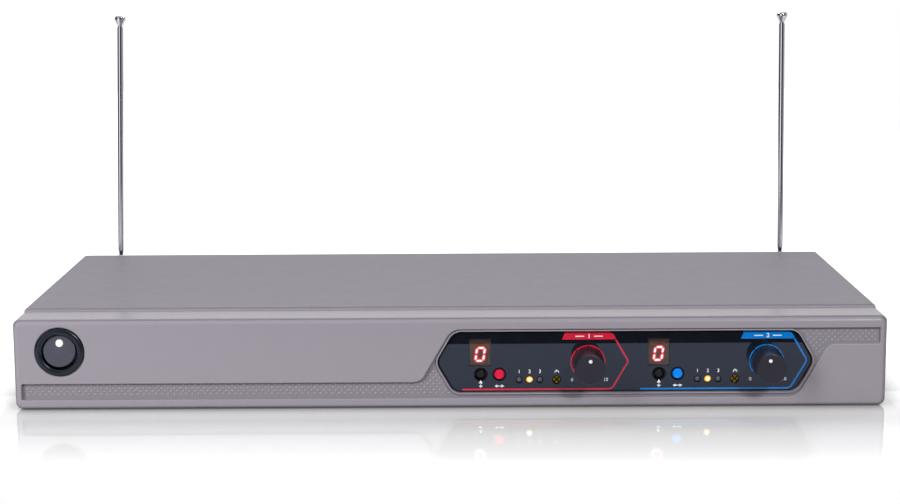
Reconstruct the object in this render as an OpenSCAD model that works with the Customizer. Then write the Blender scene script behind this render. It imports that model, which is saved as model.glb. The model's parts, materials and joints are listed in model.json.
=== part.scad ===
// Two-channel wireless microphone receiver: a low, wide steel case behind a moulded front,
// a dark control panel with two identical channels, and a folding whip antenna at each rear corner.
// Millimetres. +Z is up, the controls face -Y, and the feet stand on z = 0.

/* [Case] */
// Width of the moulded front
bezel_w = 420; // [400:1:480]
// Height of the moulded front
bezel_h = 44; // [43.3:0.1:56]
// Depth of the moulded front
bezel_d = 24; // [23:0.5:36]
// Thickness of the front wall that carries the controls
front_wall = 6; // [5:0.1:8]
// Thickness of the moulded top, bottom and side walls
bezel_wall = 2.6; // [1.8:0.1:3]
// Corner radius of the moulded front
bezel_corner_r = 3; // [2:0.1:5]
// Rounding of the edge round the front face
bezel_edge_r = 1.8; // [0.5:0.1:2]
// Step from the top of the moulded front down to its face
face_step_h = 0.9; // [0.4:0.1:1.2]
// Step from the sides of the moulded front in to its face
face_step_w = 0.6; // [0.3:0.1:0.8]
// Height of the moulded front above the surface below
stand_h = 0.4; // [0.3:0.1:8]
// Length of the steel cover
cover_len = 154.5; // [145:0.5:240]
// Step from the side of the moulded front in to the cover
cover_inset = 0.75; // [0.75:0.05:2]
// Step from the top of the moulded front up to the cover
cover_rise = 1.1; // [1:0.1:3]
// Radius of the cover's bent corners
cover_bend_r = 1.6; // [1.2:0.1:4]
// Thickness of the steel sheet
sheet_t = 1; // [0.8:0.1:1.5]
// Thickness of the rear panel
rear_t = 1.2; // [1:0.1:2]
// Step from the underside of the moulded front up to the base pan
pan_step = 1.2; // [0.8:0.1:2]
// Height of the pan's side flanges
side_flange_h = 11; // [9:0.5:16]
// Height of the pan's front flange
front_flange_h = 16; // [13:0.5:18]
// Height of the pan's rear flange
rear_flange_h = 8; // [7.5:0.1:8.3]
// Height of the cover's rear lip
cover_lip_h = 7; // [6:0.1:7.2]
// Radius of a rubber foot
foot_r = 8; // [5:0.5:12]
// Distance of the feet from the ends of the case
foot_margin = 26; // [16:1:40]

/* [Front] */
// Height of the rib along the top of the front, which the cover butts against
rib_h = 0.5; // [0.2:0.1:0.8]
// Depth of the rib
rib_d = 3; // [2:0.5:6]
// Distance of the rib's ends from the sides of the front
rib_side = 1.6; // [1:0.1:4]
// Depth of the recessed band across the front
recess_d = 1.8; // [0.8:0.1:2]
// Height of the recessed band at its two ends
band_h = 7.8; // [5:0.1:9]
// Margin of the band from the lower edge of the front
band_low = 4.5; // [4:0.1:5.8]
// Margin of the band from the sides of the front
band_side = 3.3; // [2.5:0.1:6]
// Radius where the band turns
band_turn_r = 6; // [3:0.5:8]
// Distance from the panel's slanted edge to the band's slanted edge
band_gap = 1.5; // [1.4:0.1:2]
// Centre of the control panel, right of the middle of the front
panel_x = 84.3; // [70:0.1:95]
// Centre of the control panel above the lower edge of the front
panel_mid = 21.9; // [21.8:0.1:23.8]
// Width of the control panel between its two points
panel_w = 182.4; // [180:0.2:200]
// Height of the control panel
panel_h = 30.2; // [29:0.1:30.5]
// Thickness of the control panel
panel_t = 2; // [1.5:0.1:2.5]
// How far the panel lies behind the floor of the band
panel_sink = 0.4; // [0.2:0.1:1]
// Radius of the panel's four corners
panel_corner_r = 6.5; // [3:0.5:8]
// Radius of the panel's two points
panel_point_r = 6; // [1:0.5:7]
// Width of the raised rim round the panel
rim_w = 0.7; // [0.4:0.1:0.8]
// Height of the raised rim round the panel
rim_h = 1.2; // [0.3:0.1:1.5]
// Width of the groove between the rim and the edge above it
rim_groove = 0.45; // [0.3:0.05:0.6]
// Width of the ledge that the panel rests on
ledge_w = 2.2; // [1.5:0.1:2.4]

/* [Controls] */
// Distance between the two channels
channel_pitch = 86; // [84:0.5:88]
// Volume knob from the channel's centre line
knob_x = 25.3; // [22:0.1:27]
// Volume knob above the panel's centre
knob_dz = -0.4; // [-2:0.1:2]
// Radius of the knob's face
knob_face_r = 7.2; // [6:0.1:8]
// Radius of the knob at its back
knob_back_r = 7.8; // [6.5:0.1:8.4]
// How far the knob stands out of the panel
knob_out = 17.4; // [12:0.2:22]
// Gap between the knob and the panel
knob_gap = 0.8; // [0.4:0.1:2]
// Radius of the knob's shaft
shaft_r = 3; // [2:0.1:3.2]
// Display window from the channel's centre line
display_x = -26.7; // [-28:0.1:-25]
// Display window above the panel's centre
display_dz = 4.5; // [3:0.1:5]
// Width of the display window
display_w = 10.1; // [9:0.1:12]
// Height of the display window
display_h = 12.7; // [12:0.1:13.4]
// Height of a digit
digit_h = 7.6; // [6:0.1:9]
// Width of a digit
digit_w = 5; // [3:0.1:5.5]
// Width of a digit's bars
digit_bar = 1.25; // [0.6:0.05:1.4]
// How far a digit lies below the middle of its window
digit_drop = 1.1; // [0:0.1:1.8]
// Slant of a digit
digit_slant = 8; // [0:1:12]
// Push buttons below the panel's centre
button_dz = -6.2; // [-8:0.1:-5.5]
// Channel button from the channel's centre line
channel_button_x = -26.5; // [-28:0.1:-25]
// Sync button from the channel's centre line
sync_button_x = -17.5; // [-19:0.1:-16]
// Radius of a push button
button_r = 2.4; // [1.8:0.1:2.6]
// How far the sync button stands out of the panel
sync_out = 0.5; // [0:0.1:1.5]
// How far the channel button lies behind the panel's face
channel_sink = 0.5; // [0:0.1:0.8]
// Travel of a push button
button_travel = 0.8; // [0.3:0.1:1]
// Middle indicator lamp from the channel's centre line
lamp_x = -2.9; // [-5:0.1:-1]
// Lamps and trimmer below the panel's centre
lamp_dz = -9; // [-9.5:0.1:-7]
// Distance between indicator lamps
lamp_pitch = 5; // [4.5:0.1:5.5]
// Radius of an indicator lamp
lamp_r = 1.4; // [1:0.1:1.5]
// Squelch trimmer from the channel's centre line
trimmer_x = 10.2; // [9:0.1:11.5]
// Radius of the trimmer's rotor
trimmer_r = 1.75; // [1.2:0.05:2]
// Power switch from the left side of the front
switch_x = 22.3; // [20:0.1:28]
// Power switch above the lower edge of the front
switch_z = 28.2; // [26.8:0.1:28.8]
// Radius of the switch's ring
switch_ring_r = 11.7; // [11:0.1:12]
// Radius of the well inside the ring
switch_well_r = 8.6; // [8:0.1:8.8]
// Radius of the rocker
rocker_r = 7.75; // [6:0.05:7.9]
// Distance of the rocker's face in front of its pivot
rocker_face = 3.6; // [3:0.1:3.8]
// Tilt of the rocker to each side
rocker_tilt = 11; // [5:0.5:11]

/* [Antennas] */
// Antennas from the sides of the moulded front
antenna_x = 20.2; // [17:0.1:30]
// Swivel axis above the surface below
antenna_z = 36; // [34:0.1:37]
// Lean of the left antenna towards the middle
antenna_lean_1 = 1.75; // [0:0.05:5]
// Lean of the right antenna towards the middle
antenna_lean_2 = 0.8; // [0:0.1:5]
// Elbow pin behind the rear panel
elbow_out = 9; // [8.5:0.1:14]
// Length of an antenna's outer section above the elbow pin
outer_len = 138.5; // [110:0.5:300]
// Radius of the outer section
outer_r = 1.63; // [1.5:0.01:2.2]
// Wall of the antenna's tubes
tube_wall = 0.25; // [0.2:0.01:0.3]
// Radial clearance between sliding sections
slide_fit = 0.05; // [0.02:0.01:0.08]
// Radius of the knob on an antenna's tip
tip_r = 3; // [2:0.1:4]
// Height of the knob on an antenna's tip
tip_h = 5.7; // [4.5:0.1:9]

/* [Rear connectors] */
// Height of the connectors above the surface below
connector_z = 23.6; // [23.5:0.1:24]
// First three-pin output from the middle of the rear
output_1_x = -70; // [-85:1:-62]
// Second three-pin output from the middle of the rear
output_2_x = -30; // [-34:1:-20]
// Jack of the mixed output from the middle of the rear
jack_x = 14; // [6:1:24]
// Power inlet from the middle of the rear
inlet_x = 50; // [40:1:80]
// Radius of the well of a three-pin output
xlr_well_r = 9.35; // [9:0.05:9.6]
// Radius of the jack's bore
jack_bore_r = 3.25; // [3.2:0.01:3.4]
// Radius of the power inlet's bore
inlet_bore_r = 2.9; // [2.8:0.05:3.2]

/* [Hidden] */
$fn = 48;

// Clearances: pieces that only pass one another, turning fits, and cuts that run through a face
gap = 0.3;
fit = 0.05;
cut = 1;

// Screws
screw_r = 1.4;
screw_play = 0.1;
screw_hole_r = screw_r + screw_play;
screw_len = 5;
screw_head_r = 2.75;
screw_head_h = 1.6;
low_head_h = 0.7;

// Rear connectors across the rear panel
output_places = [[output_1_x, connector_z], [output_2_x, connector_z]];
jack_place = [jack_x, connector_z];
inlet_place = [inlet_x, connector_z];

// Places along the depth
rear_y = bezel_d + cover_len;
rear_inner_y = rear_y - rear_t;
panel_front = recess_d + panel_sink;
panel_back = panel_front + panel_t;
board_gap = 8.8;
board_t = 1.6;
board_front = panel_back + board_gap;
board_back = board_front + board_t;
knob_front = panel_front - knob_out;
antenna_y = rear_y + elbow_out;
ear_r = 3;
mid_y = (knob_front + antenna_y + max(ear_r, tip_r)) / 2;

// Places up the height
bezel_top = stand_h + bezel_h;
cover_top = bezel_top + cover_rise;
cover_w = bezel_w - 2 * cover_inset;
inside_w = cover_w - 2 * sheet_t - 2 * fit;
pan_z = stand_h + pan_step;
pan_top = pan_z + sheet_t;
panel_z = stand_h + panel_mid;
switch_place = [switch_x - bezel_w / 2, stand_h + switch_z];
antenna_place = [bezel_w / 2 - antenna_x, antenna_z];

// The main board on its standoffs
standoff_h = 6;
standoff_r = 3;
main_board_z = pan_top + standoff_h;
main_board_top = main_board_z + board_t;
main_board_side = 15;
main_board_w = bezel_w - 2 * main_board_side;
main_board_gap = 12;
main_board_front = bezel_d + main_board_gap;
main_board_len = 92;
main_board_y = [main_board_front, main_board_front + main_board_len];
main_screw_inset = 6;

function channel_x(i) = panel_x + (i - 1.5) * channel_pitch;
function on_channel(i, x, dz) = [channel_x(i) + x, panel_z + dz];

// Outline of straight edges and round corners, each corner given as [x, y, radius]
function unit(v) = v / norm(v);
function xy(p) = [p[0], p[1]];
function corner_arc(before, corner, after, r, steps) =
    let (
        u = unit(before - corner),
        w = unit(after - corner),
        half = acos(u * w) / 2,
        centre = corner + unit(u + w) * r / sin(half),
        start = corner + u * r / tan(half) - centre,
        end = corner + w * r / tan(half) - centre,
        from = atan2(start[1], start[0]),
        sweep = (atan2(end[1], end[0]) - from + 540) % 360 - 180
    )
    [for (k = [0 : steps]) centre + r * [cos(from + sweep * k / steps), sin(from + sweep * k / steps)]];
function rounded(corners, steps = 8) =
    let (n = len(corners))
    [for (i = [0 : n - 1])
        each corners[i][2] == 0 ? [xy(corners[i])] : corner_arc(
            xy(corners[(i + n - 1) % n]), xy(corners[i]), xy(corners[(i + 1) % n]), corners[i][2], steps)];
function rounded_box(w, low, high, r) =
    rounded([[-w / 2, low, r], [w / 2, low, r], [w / 2, high, r], [-w / 2, high, r]]);

// The panel's outline, a long hexagon with 60 degree slants, grown by an even margin
slant = 60;
function panel_outline(grow = 0) =
    let (
        half_h = panel_h / 2 + grow,
        half_w = panel_w / 2 + grow / sin(slant),
        side = half_w - half_h / tan(slant),
        corner_r = max(panel_corner_r + grow, 0.5),
        point_r = max(panel_point_r + grow, 0.5)
    )
    [for (p = rounded([
        [-half_w, 0, point_r], [-side, -half_h, corner_r], [side, -half_h, corner_r],
        [half_w, 0, point_r], [side, half_h, corner_r], [-side, half_h, corner_r]
    ])) p + [panel_x, panel_z]];

// The recessed band: low on the left, round the panel, high on the right
band_bottom = stand_h + band_low;
band_top = panel_z + panel_h / 2 + rim_w + rim_groove;
band_end = bezel_w / 2 - band_side;
band_end_r = 0.6;
band_point = panel_w / 2 + band_gap / sin(slant);
band_wrap_r = panel_corner_r + band_gap;
function band_left(z) = panel_x - band_point + (z - panel_z) / tan(slant);
function band_right(z) = panel_x + band_point + (z - panel_z) / tan(slant);
band_outline = rounded([
    [-band_end, band_bottom, band_end_r],
    [band_right(band_bottom), band_bottom, band_wrap_r],
    [band_right(band_top - band_h), band_top - band_h, band_turn_r],
    [band_end, band_top - band_h, band_end_r],
    [band_end, band_top, band_end_r],
    [band_left(band_top), band_top, band_wrap_r],
    [band_left(band_bottom + band_h), band_bottom + band_h, band_turn_r],
    [-band_end, band_bottom + band_h, band_end_r]
]);

// Turns a flat drawing in x and z into a plate from y up to y + thickness
module plate_y(y, thickness) {
    translate([0, y + thickness, 0]) rotate([90, 0, 0]) linear_extrude(thickness) children();
}
module rod_y(r, from, to) {
    translate([0, from, 0]) rotate([-90, 0, 0]) cylinder(r = r, h = to - from);
}
module rod_x(r, from, to) {
    translate([from, 0, 0]) rotate([0, 90, 0]) cylinder(r = r, h = to - from);
}
module at(place) {
    translate([place[0], 0, place[1]]) children();
}
module box(low, high) {
    translate(low) cube(high - low);
}
// A cross-head screw whose head rests on z = 0 and stands up from it
module screw(length, head_h) {
    slot_w = 0.7;
    difference() {
        union() {
            translate([0, 0, -length]) cylinder(r = screw_r, h = length + head_h / 2);
            cylinder(r1 = screw_head_r, r2 = screw_head_r - head_h / 3, h = head_h);
        }
        for (turn = [0, 90])
            rotate([0, 0, turn])
                translate([-screw_r, -slot_w / 2, head_h / 2]) cube([2 * screw_r, slot_w, cut]);
    }
}
// Moves the whole drawing so that z = 0 below its middle is the origin
module place() {
    translate([0, -mid_y, 0]) children();
}

// Control board and screw places
control_board_side = 2;
control_board_w = panel_w + 2 * control_board_side;
control_board_h = 31;
bezel_screw_left = 12;
bezel_screw_x = [
    bezel_screw_left - bezel_w / 2, -100, -22,
    (panel_x + control_board_w / 2 + bezel_w / 2 - bezel_wall) / 2
];
bezel_screw_rise = 8.5;
bezel_screw_z = pan_z + bezel_screw_rise;
boss_r = 3.2;
pilot_depth = 8;
side_screw_front = 26;
side_screw_rear = 30;
side_screw_y = [bezel_d + side_screw_front, rear_y - side_screw_rear];
side_screw_rise = 7;
side_screw_z = pan_z + side_screw_rise;
rear_screw_x = [-150, 0, 110];
rear_low_screw_rise = 5.4;
rear_low_screw_z = pan_z + rear_low_screw_rise;
rear_high_screw_drop = 4.4;
rear_high_screw_z = cover_top - sheet_t - rear_high_screw_drop;
lip_margin = 16;
lip_half_w = antenna_place[0] - lip_margin;
main_screw_x = [-main_board_w / 2 + main_screw_inset, 0, main_board_w / 2 - main_screw_inset];
main_screw_y = [main_board_y[0] + main_screw_inset, main_board_y[1] - main_screw_inset];
control_screw_inset = [3.1, 2.9];
control_screw = [panel_w / 2, panel_h / 2] - control_screw_inset;
control_screw_places = [for (sx = [-1, 1], sz = [-1, 1])
    [panel_x + sx * control_screw[0], panel_z + sz * control_screw[1]]];
control_boss_r = 2.4;

// Case
grey = [0.62, 0.59, 0.64];
module bezel_block() {
    steps = 5;
    edge_break = 0.25;
    hull()
        for (inset = [0, edge_break])
            plate_y(bezel_edge_r + edge_break - inset, bezel_d - bezel_edge_r - edge_break + inset)
                polygon(rounded_box(
                    bezel_w - 2 * inset, stand_h + inset, bezel_top - inset, bezel_corner_r - inset));
    hull()
        for (k = [0 : steps]) {
            inset = bezel_edge_r * (1 - sin(90 * k / steps));
            y = bezel_edge_r * (1 - cos(90 * k / steps));
            plate_y(y, bezel_edge_r + bezel_wall / 2 - y) polygon(rounded_box(
                bezel_w - 2 * (face_step_w + inset), stand_h + inset, bezel_top - face_step_h - inset,
                bezel_corner_r - inset / 2));
        }
}
module front_bezel() {
    counterbore_w = 0.3;
    color(grey) {
        difference() {
            union() {
                difference() {
                    union() {
                        bezel_block();
                        box([-bezel_w / 2 + rib_side, bezel_d - rib_d, bezel_top - fit],
                            [bezel_w / 2 - rib_side, bezel_d, bezel_top + rib_h]);
                    }
                    box([-bezel_w / 2 + bezel_wall, front_wall, stand_h + bezel_wall],
                        [bezel_w / 2 - bezel_wall, bezel_d + cut, bezel_top - bezel_wall]);
                }
                for (x = bezel_screw_x)
                    at([x, bezel_screw_z]) rod_y(boss_r, front_wall - fit, bezel_d);
                for (p = control_screw_places)
                    at(p) rod_y(control_boss_r, front_wall - fit, board_front);
            }
            plate_y(-cut, recess_d + cut) polygon(band_outline);
            plate_y(recess_d - fit, panel_back - recess_d + fit) polygon(panel_outline(fit));
            plate_y(panel_back - fit, front_wall) polygon(panel_outline(-ledge_w));
            at(switch_place) {
                rod_y(switch_ring_r + counterbore_w, -cut, switch_flange_y);
                rod_y(switch_body_r + gap / 2, 0, front_wall + cut);
            }
            for (x = bezel_screw_x)
                at([x, bezel_screw_z]) rod_y(screw_hole_r, bezel_d - pilot_depth, bezel_d + cut);
            for (p = control_screw_places)
                at(p) rod_y(screw_hole_r, board_front - screw_len, board_front + cut);
        }
        difference() {
            plate_y(recess_d - rim_h, rim_h + fit) polygon(panel_outline(rim_w));
            plate_y(recess_d - rim_h - cut, rim_h + 2 * cut) polygon(panel_outline(fit));
        }
    }
}
module top_cover() {
    half = cover_w / 2;
    inner = half - sheet_t;
    inner_r = cover_bend_r - sheet_t;
    ceiling = cover_top - sheet_t;
    color(grey) difference() {
        union() {
            plate_y(bezel_d, cover_len) polygon(rounded([
                [-half, pan_z, 0], [-inner, pan_z, 0], [-inner, ceiling, inner_r], [inner, ceiling, inner_r],
                [inner, pan_z, 0], [half, pan_z, 0], [half, cover_top, cover_bend_r],
                [-half, cover_top, cover_bend_r]
            ]));
            box([-lip_half_w, rear_inner_y - sheet_t, ceiling - cover_lip_h],
                [lip_half_w, rear_inner_y, ceiling + fit]);
        }
        for (y = side_screw_y)
            translate([0, y, side_screw_z]) rod_x(screw_hole_r, -half - cut, half + cut);
        for (x = rear_screw_x)
            at([x, rear_high_screw_z]) rod_y(screw_hole_r, rear_inner_y - sheet_t - cut, rear_inner_y + cut);
    }
}
module base_pan() {
    half = inside_w / 2;
    flange_x = half - sheet_t;
    color([0.5, 0.48, 0.52]) difference() {
        union() {
            box([-half, bezel_d, pan_z], [half, rear_y, pan_top]);
            box([-half, bezel_d, pan_z], [half, bezel_d + sheet_t, pan_z + front_flange_h]);
            box([-half, rear_inner_y - sheet_t, pan_z], [half, rear_inner_y, pan_z + rear_flange_h]);
            for (side = [-1, 1])
                translate([side * (flange_x + half) / 2 - sheet_t / 2, bezel_d, pan_z])
                    cube([sheet_t, rear_inner_y - bezel_d, side_flange_h]);
            for (x = main_screw_x, y = main_screw_y)
                translate([x, y, pan_top - fit]) cylinder(r = standoff_r, h = standoff_h + fit);
        }
        for (x = bezel_screw_x)
            at([x, bezel_screw_z]) rod_y(screw_hole_r, bezel_d - cut, bezel_d + sheet_t + cut);
        for (x = rear_screw_x)
            at([x, rear_low_screw_z]) rod_y(screw_hole_r, rear_inner_y - sheet_t - cut, rear_inner_y + cut);
        for (y = side_screw_y)
            translate([0, y, side_screw_z]) rod_x(screw_hole_r, -half - cut, half + cut);
        for (x = main_screw_x, y = main_screw_y)
            translate([x, y, pan_z - cut]) cylinder(r = screw_hole_r, h = standoff_h + 2 * sheet_t + cut);
    }
}
module rear_panel() {
    ceiling = cover_top - sheet_t - fit;
    color([0.3, 0.29, 0.31]) difference() {
        plate_y(rear_inner_y, rear_t) polygon(rounded([
            [-inside_w / 2, pan_top, 0], [inside_w / 2, pan_top, 0],
            [inside_w / 2, ceiling, cover_bend_r], [-inside_w / 2, ceiling, cover_bend_r]
        ]));
        for (x = rear_screw_x, z = [rear_low_screw_z, rear_high_screw_z])
            at([x, z]) rod_y(screw_hole_r, rear_inner_y - cut, rear_y + cut);
        for (i = [0, 1])
            at(output_places[i]) {
                rod_y(xlr_shell_r + gap / 2, rear_inner_y - cut, rear_y + cut);
                for (p = xlr_screw_places)
                    at(p) rod_y(screw_hole_r, rear_inner_y - cut, rear_y + cut);
            }
        at(jack_place) rod_y(jack_thread_r + gap / 2, rear_inner_y - cut, rear_y + cut);
        at(inlet_place) rod_y(inlet_thread_r + gap / 2, rear_inner_y - cut, rear_y + cut);
        for (side = [-1, 1])
            at([side * antenna_place[0], antenna_z])
                rod_y(bush_thread_r + gap / 2, rear_inner_y - cut, rear_y + cut);
    }
}
module rubber_feet() {
    foot_taper = 0.6;
    color([0.09, 0.09, 0.1])
        for (x = [-1, 1] * (bezel_w / 2 - foot_margin))
            for (y = [bezel_d + foot_margin / 2, rear_y - foot_margin])
                translate([x, y, 0]) cylinder(r1 = foot_r - foot_taper, r2 = foot_r, h = pan_z);
}
module case_screws() {
    color([0.16, 0.16, 0.17]) {
        for (x = bezel_screw_x)
            translate([x, bezel_d + sheet_t, bezel_screw_z])
                rotate([-90, 0, 0]) screw(screw_len, screw_head_h);
        for (y = side_screw_y, side = [-1, 1])
            translate([side * cover_w / 2, y, side_screw_z])
                rotate([0, side * 90, 0]) screw(screw_len, low_head_h);
        for (x = rear_screw_x, z = [rear_low_screw_z, rear_high_screw_z])
            translate([x, rear_y, z]) rotate([-90, 0, 0]) screw(screw_len, screw_head_h);
        for (i = [0, 1], p = xlr_screw_places)
            at(output_places[i] + p) translate([0, rear_y + xlr_flange_t, 0])
                rotate([-90, 0, 0]) screw(screw_len, screw_head_h);
    }
}

// Control panel and what shows through it
window_corner_r = 0.4;
lamp_hole_r = lamp_r + gap / 2;
button_hole_r = button_r + gap;
trimmer_hole_r = trimmer_r + gap;
function lamp_place(i, k) = on_channel(i, lamp_x + (k - 2) * lamp_pitch, lamp_dz);
function trimmer_place(i) = on_channel(i, trimmer_x, lamp_dz);
function knob_place(i) = on_channel(i, knob_x, knob_dz);
function display_place(i) = on_channel(i, display_x, display_dz);
function button_places(i) =
    [on_channel(i, channel_button_x, button_dz), on_channel(i, sync_button_x, button_dz)];
module window_outline(margin) {
    polygon(rounded_box(
        display_w + 2 * margin, -display_h / 2 - margin, display_h / 2 + margin, window_corner_r + margin));
}
module control_panel() {
    color([0.03, 0.03, 0.04]) difference() {
        plate_y(panel_front, panel_t) polygon(panel_outline());
        for (i = [1, 2]) {
            at(display_place(i)) plate_y(panel_front - cut, panel_t + 2 * cut) window_outline(fit);
            for (p = button_places(i))
                at(p) rod_y(button_hole_r, panel_front - cut, panel_back + cut);
            for (k = [1 : 3])
                at(lamp_place(i, k)) rod_y(lamp_hole_r, panel_front - cut, panel_back + cut);
            at(trimmer_place(i)) rod_y(trimmer_hole_r, panel_front - cut, panel_back + cut);
            at(knob_place(i)) rod_y(shaft_r + gap, panel_front - cut, panel_back + cut);
        }
    }
}
module display_window(i) {
    color([0.43, 0.37, 0.33, 0.5]) at(display_place(i)) plate_y(panel_front, panel_t) window_outline(0);
}
// A digit lies on the face of its module, just behind the window
digit_t = 0.2;
module_front = panel_back + digit_t + fit;
module display_module(i) {
    color([0.36, 0.31, 0.28]) at(display_place(i))
        box([-display_w / 2, module_front, -display_h / 2], [display_w / 2, board_front, display_h / 2]);
}
function slanted(p) = [p[0] + p[1] * tan(digit_slant), p[1]];
// One bar with pointed ends, centred on a place in the digit, lying flat or standing
module digit_bar_at(place, length, standing) {
    bar_gap = 0.12;
    b = digit_bar / 2;
    l = length / 2 - bar_gap;
    flat = [[-l, 0], [-l + b, -b], [l - b, -b], [l, 0], [l - b, b], [-l + b, b]];
    polygon([for (p = flat) slanted((standing ? [p[1], -p[0]] : p) + place)]);
}
module digit_segments() {
    half_w = (digit_w - digit_bar) / 2;
    half_h = (digit_h - digit_bar) / 2;
    digit_front = panel_back + fit / 2;
    color([0.95, 0.1, 0.2])
        for (i = [1, 2], side = [-1, 1]) at(display_place(i) - [0, digit_drop]) {
            plate_y(digit_front, module_front - digit_front)
                digit_bar_at([0, side * half_h], 2 * half_w, false);
            for (up = [-1, 1])
                plate_y(digit_front, module_front - digit_front)
                    digit_bar_at([side * half_w, up * half_h / 2], half_h, true);
        }
}
// A round indicator lamp: domed body, flange and two leads
module lamp(place) {
    lead_r = 0.25;
    lead_x = 0.8;
    flange_w = 0.4;
    flange_t = 0.8;
    flange_y = panel_back + 1.2;
    dome_y = panel_front + 0.8 * lamp_r;
    at(place) {
        translate([0, dome_y, 0]) intersection() {
            sphere(r = lamp_r);
            rod_y(lamp_r, -lamp_r, fit);
        }
        rod_y(lamp_r, dome_y, flange_y);
        rod_y(lamp_r + flange_w, flange_y, flange_y + flange_t);
        for (side = [-1, 1])
            translate([side * lead_x, 0, 0]) rod_y(lead_r, flange_y + flange_t / 2, board_front);
    }
}
module lit_lamps() {
    color([1, 0.8, 0.35]) for (i = [1, 2]) lamp(lamp_place(i, 2));
}
module unlit_lamps() {
    color([0.4, 0.41, 0.44]) for (i = [1, 2], k = [1, 3]) lamp(lamp_place(i, k));
}
module volume_knob(i) {
    shaft_depth = 12;
    color([0.2, 0.2, 0.22]) at(knob_place(i)) difference() {
        translate([0, knob_front, 0]) rotate([-90, 0, 0])
            cylinder(r1 = knob_face_r, r2 = knob_back_r, h = knob_out - knob_gap);
        rod_y(shaft_r + fit, panel_front - knob_gap - shaft_depth, panel_front);
    }
}
pot_gap = 2.4;
pot_front = panel_back + pot_gap;
pot_back_t = 2;
pot_shaft_end = board_front - pot_back_t;
module pot_shaft(i) {
    seat = 11.8;
    color("silver") at(knob_place(i)) rod_y(shaft_r, panel_front - knob_gap - seat, pot_shaft_end);
}
module potentiometers() {
    case_r = 8;
    bush_wall = 0.9;
    bush_r = shaft_r + bush_wall;
    color([0.6, 0.6, 0.58])
        for (i = [1, 2]) at(knob_place(i)) difference() {
            union() {
                rod_y(case_r, pot_front, board_front);
                rod_y(bush_r, panel_back + fit, pot_front + fit);
            }
            rod_y(shaft_r + fit, panel_back - cut, pot_shaft_end + gap);
        }
}
tact_side = 6;
tact_h = 3.5;
stem_r = 1.7;
stem_bite = 1;
stem_end = board_front - tact_h + stem_bite;
module push_button(place, face_y) {
    flange = 0.8;
    flange_t = 1;
    at(place) {
        rod_y(button_r, face_y, panel_back + gap / 2);
        rod_y(button_r + flange, panel_back + gap / 2, panel_back + gap / 2 + flange_t);
        rod_y(stem_r, panel_back + gap / 2, stem_end);
    }
}
module channel_button(i) {
    color([0.08, 0.08, 0.1]) push_button(button_places(i)[0], panel_front + channel_sink);
}
module sync_button(i) {
    color(i == 1 ? [0.88, 0.2, 0.33] : [0.07, 0.5, 0.92])
        push_button(button_places(i)[1], panel_front - sync_out);
}
module tact_switches() {
    color([0.15, 0.15, 0.16])
        for (i = [1, 2], p = button_places(i)) at(p) difference() {
            box([-tact_side / 2, board_front - tact_h, -tact_side / 2],
                [tact_side / 2, board_front, tact_side / 2]);
            rod_y(stem_r + fit, board_front - tact_h - cut, stem_end + button_travel + gap);
        }
}
trimmer_sink = 0.8;
trimmer_body_h = 5;
trimmer_body_front = board_front - trimmer_body_h;
trimmer_seat = 1.6;
trimmer_end = trimmer_body_front + trimmer_seat;
module squelch_rotor(i) {
    slot_w = 0.6;
    slot_depth = 0.5;
    face_y = panel_front + trimmer_sink;
    color([0.72, 0.6, 0.25]) at(trimmer_place(i)) difference() {
        rod_y(trimmer_r, face_y, trimmer_end);
        for (turn = [45, 135])
            rotate([0, turn, 0])
                box([-trimmer_r - cut, face_y - cut, -slot_w / 2],
                    [trimmer_r + cut, face_y + slot_depth, slot_w / 2]);
    }
}
module trimmer_bodies() {
    side = 6.4;
    color([0.12, 0.25, 0.5])
        for (i = [1, 2]) at(trimmer_place(i)) difference() {
            box([-side / 2, trimmer_body_front, -side / 2], [side / 2, board_front, side / 2]);
            rod_y(trimmer_r + fit, trimmer_body_front - cut, trimmer_end + gap);
        }
}
module control_board() {
    color([0.08, 0.3, 0.16]) difference() {
        box([panel_x - control_board_w / 2, board_front, panel_z - control_board_h / 2],
            [panel_x + control_board_w / 2, board_back, panel_z + control_board_h / 2]);
        for (p = control_screw_places)
            at(p) rod_y(screw_hole_r, board_front - cut, board_back + cut);
    }
}

// Power switch: the rocker rests tilted, with its upper half pressed in
switch_body_r = 9.9;
switch_flange_y = 1.2;
switch_ring_front = -0.9;
switch_back = 18;
rocker_sink = 0.7;
rocker_pivot_y = switch_ring_front + rocker_face + rocker_sink;
rocker_pin_r = 1.2;
rocker_pin_half = (switch_well_r + switch_body_r) / 2;
module switch_housing() {
    well_back = rocker_pivot_y + rocker_r;
    color([0.05, 0.05, 0.06]) at(switch_place) difference() {
        union() {
            rod_y(switch_ring_r, switch_ring_front, switch_flange_y);
            rod_y(switch_body_r, switch_flange_y - fit, switch_back);
        }
        rod_y(switch_well_r, switch_ring_front - cut, well_back);
        translate([0, rocker_pivot_y, 0])
            rod_x(rocker_pin_r + fit, -rocker_pin_half - fit, rocker_pin_half + fit);
    }
}
module power_rocker() {
    disc_t = 2.6;
    stem = [9, 4];
    stem_back = 3;
    color([0.04, 0.04, 0.05]) translate([switch_place[0], rocker_pivot_y, switch_place[1]])
        rotate([-rocker_tilt, 0, 0]) {
            rod_y(rocker_r, -rocker_face, -rocker_face + disc_t);
            rod_x(rocker_pin_r, -rocker_pin_half, rocker_pin_half);
            box([-stem[0] / 2, -rocker_face + disc_t - fit, -stem[1] / 2],
                [stem[0] / 2, stem_back, stem[1] / 2]);
        }
}
terminal_x = [-3.5, 3.5];
terminal_len = 4;
terminal_end = switch_back + terminal_len;
module switch_terminals() {
    tab = [0.8, 4.8];
    color([0.75, 0.62, 0.35])
        for (x = terminal_x)
            at(switch_place + [x, 0])
                box([-tab[0] / 2, switch_back, -tab[1] / 2], [tab[0] / 2, terminal_end, tab[1] / 2]);
}

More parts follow.
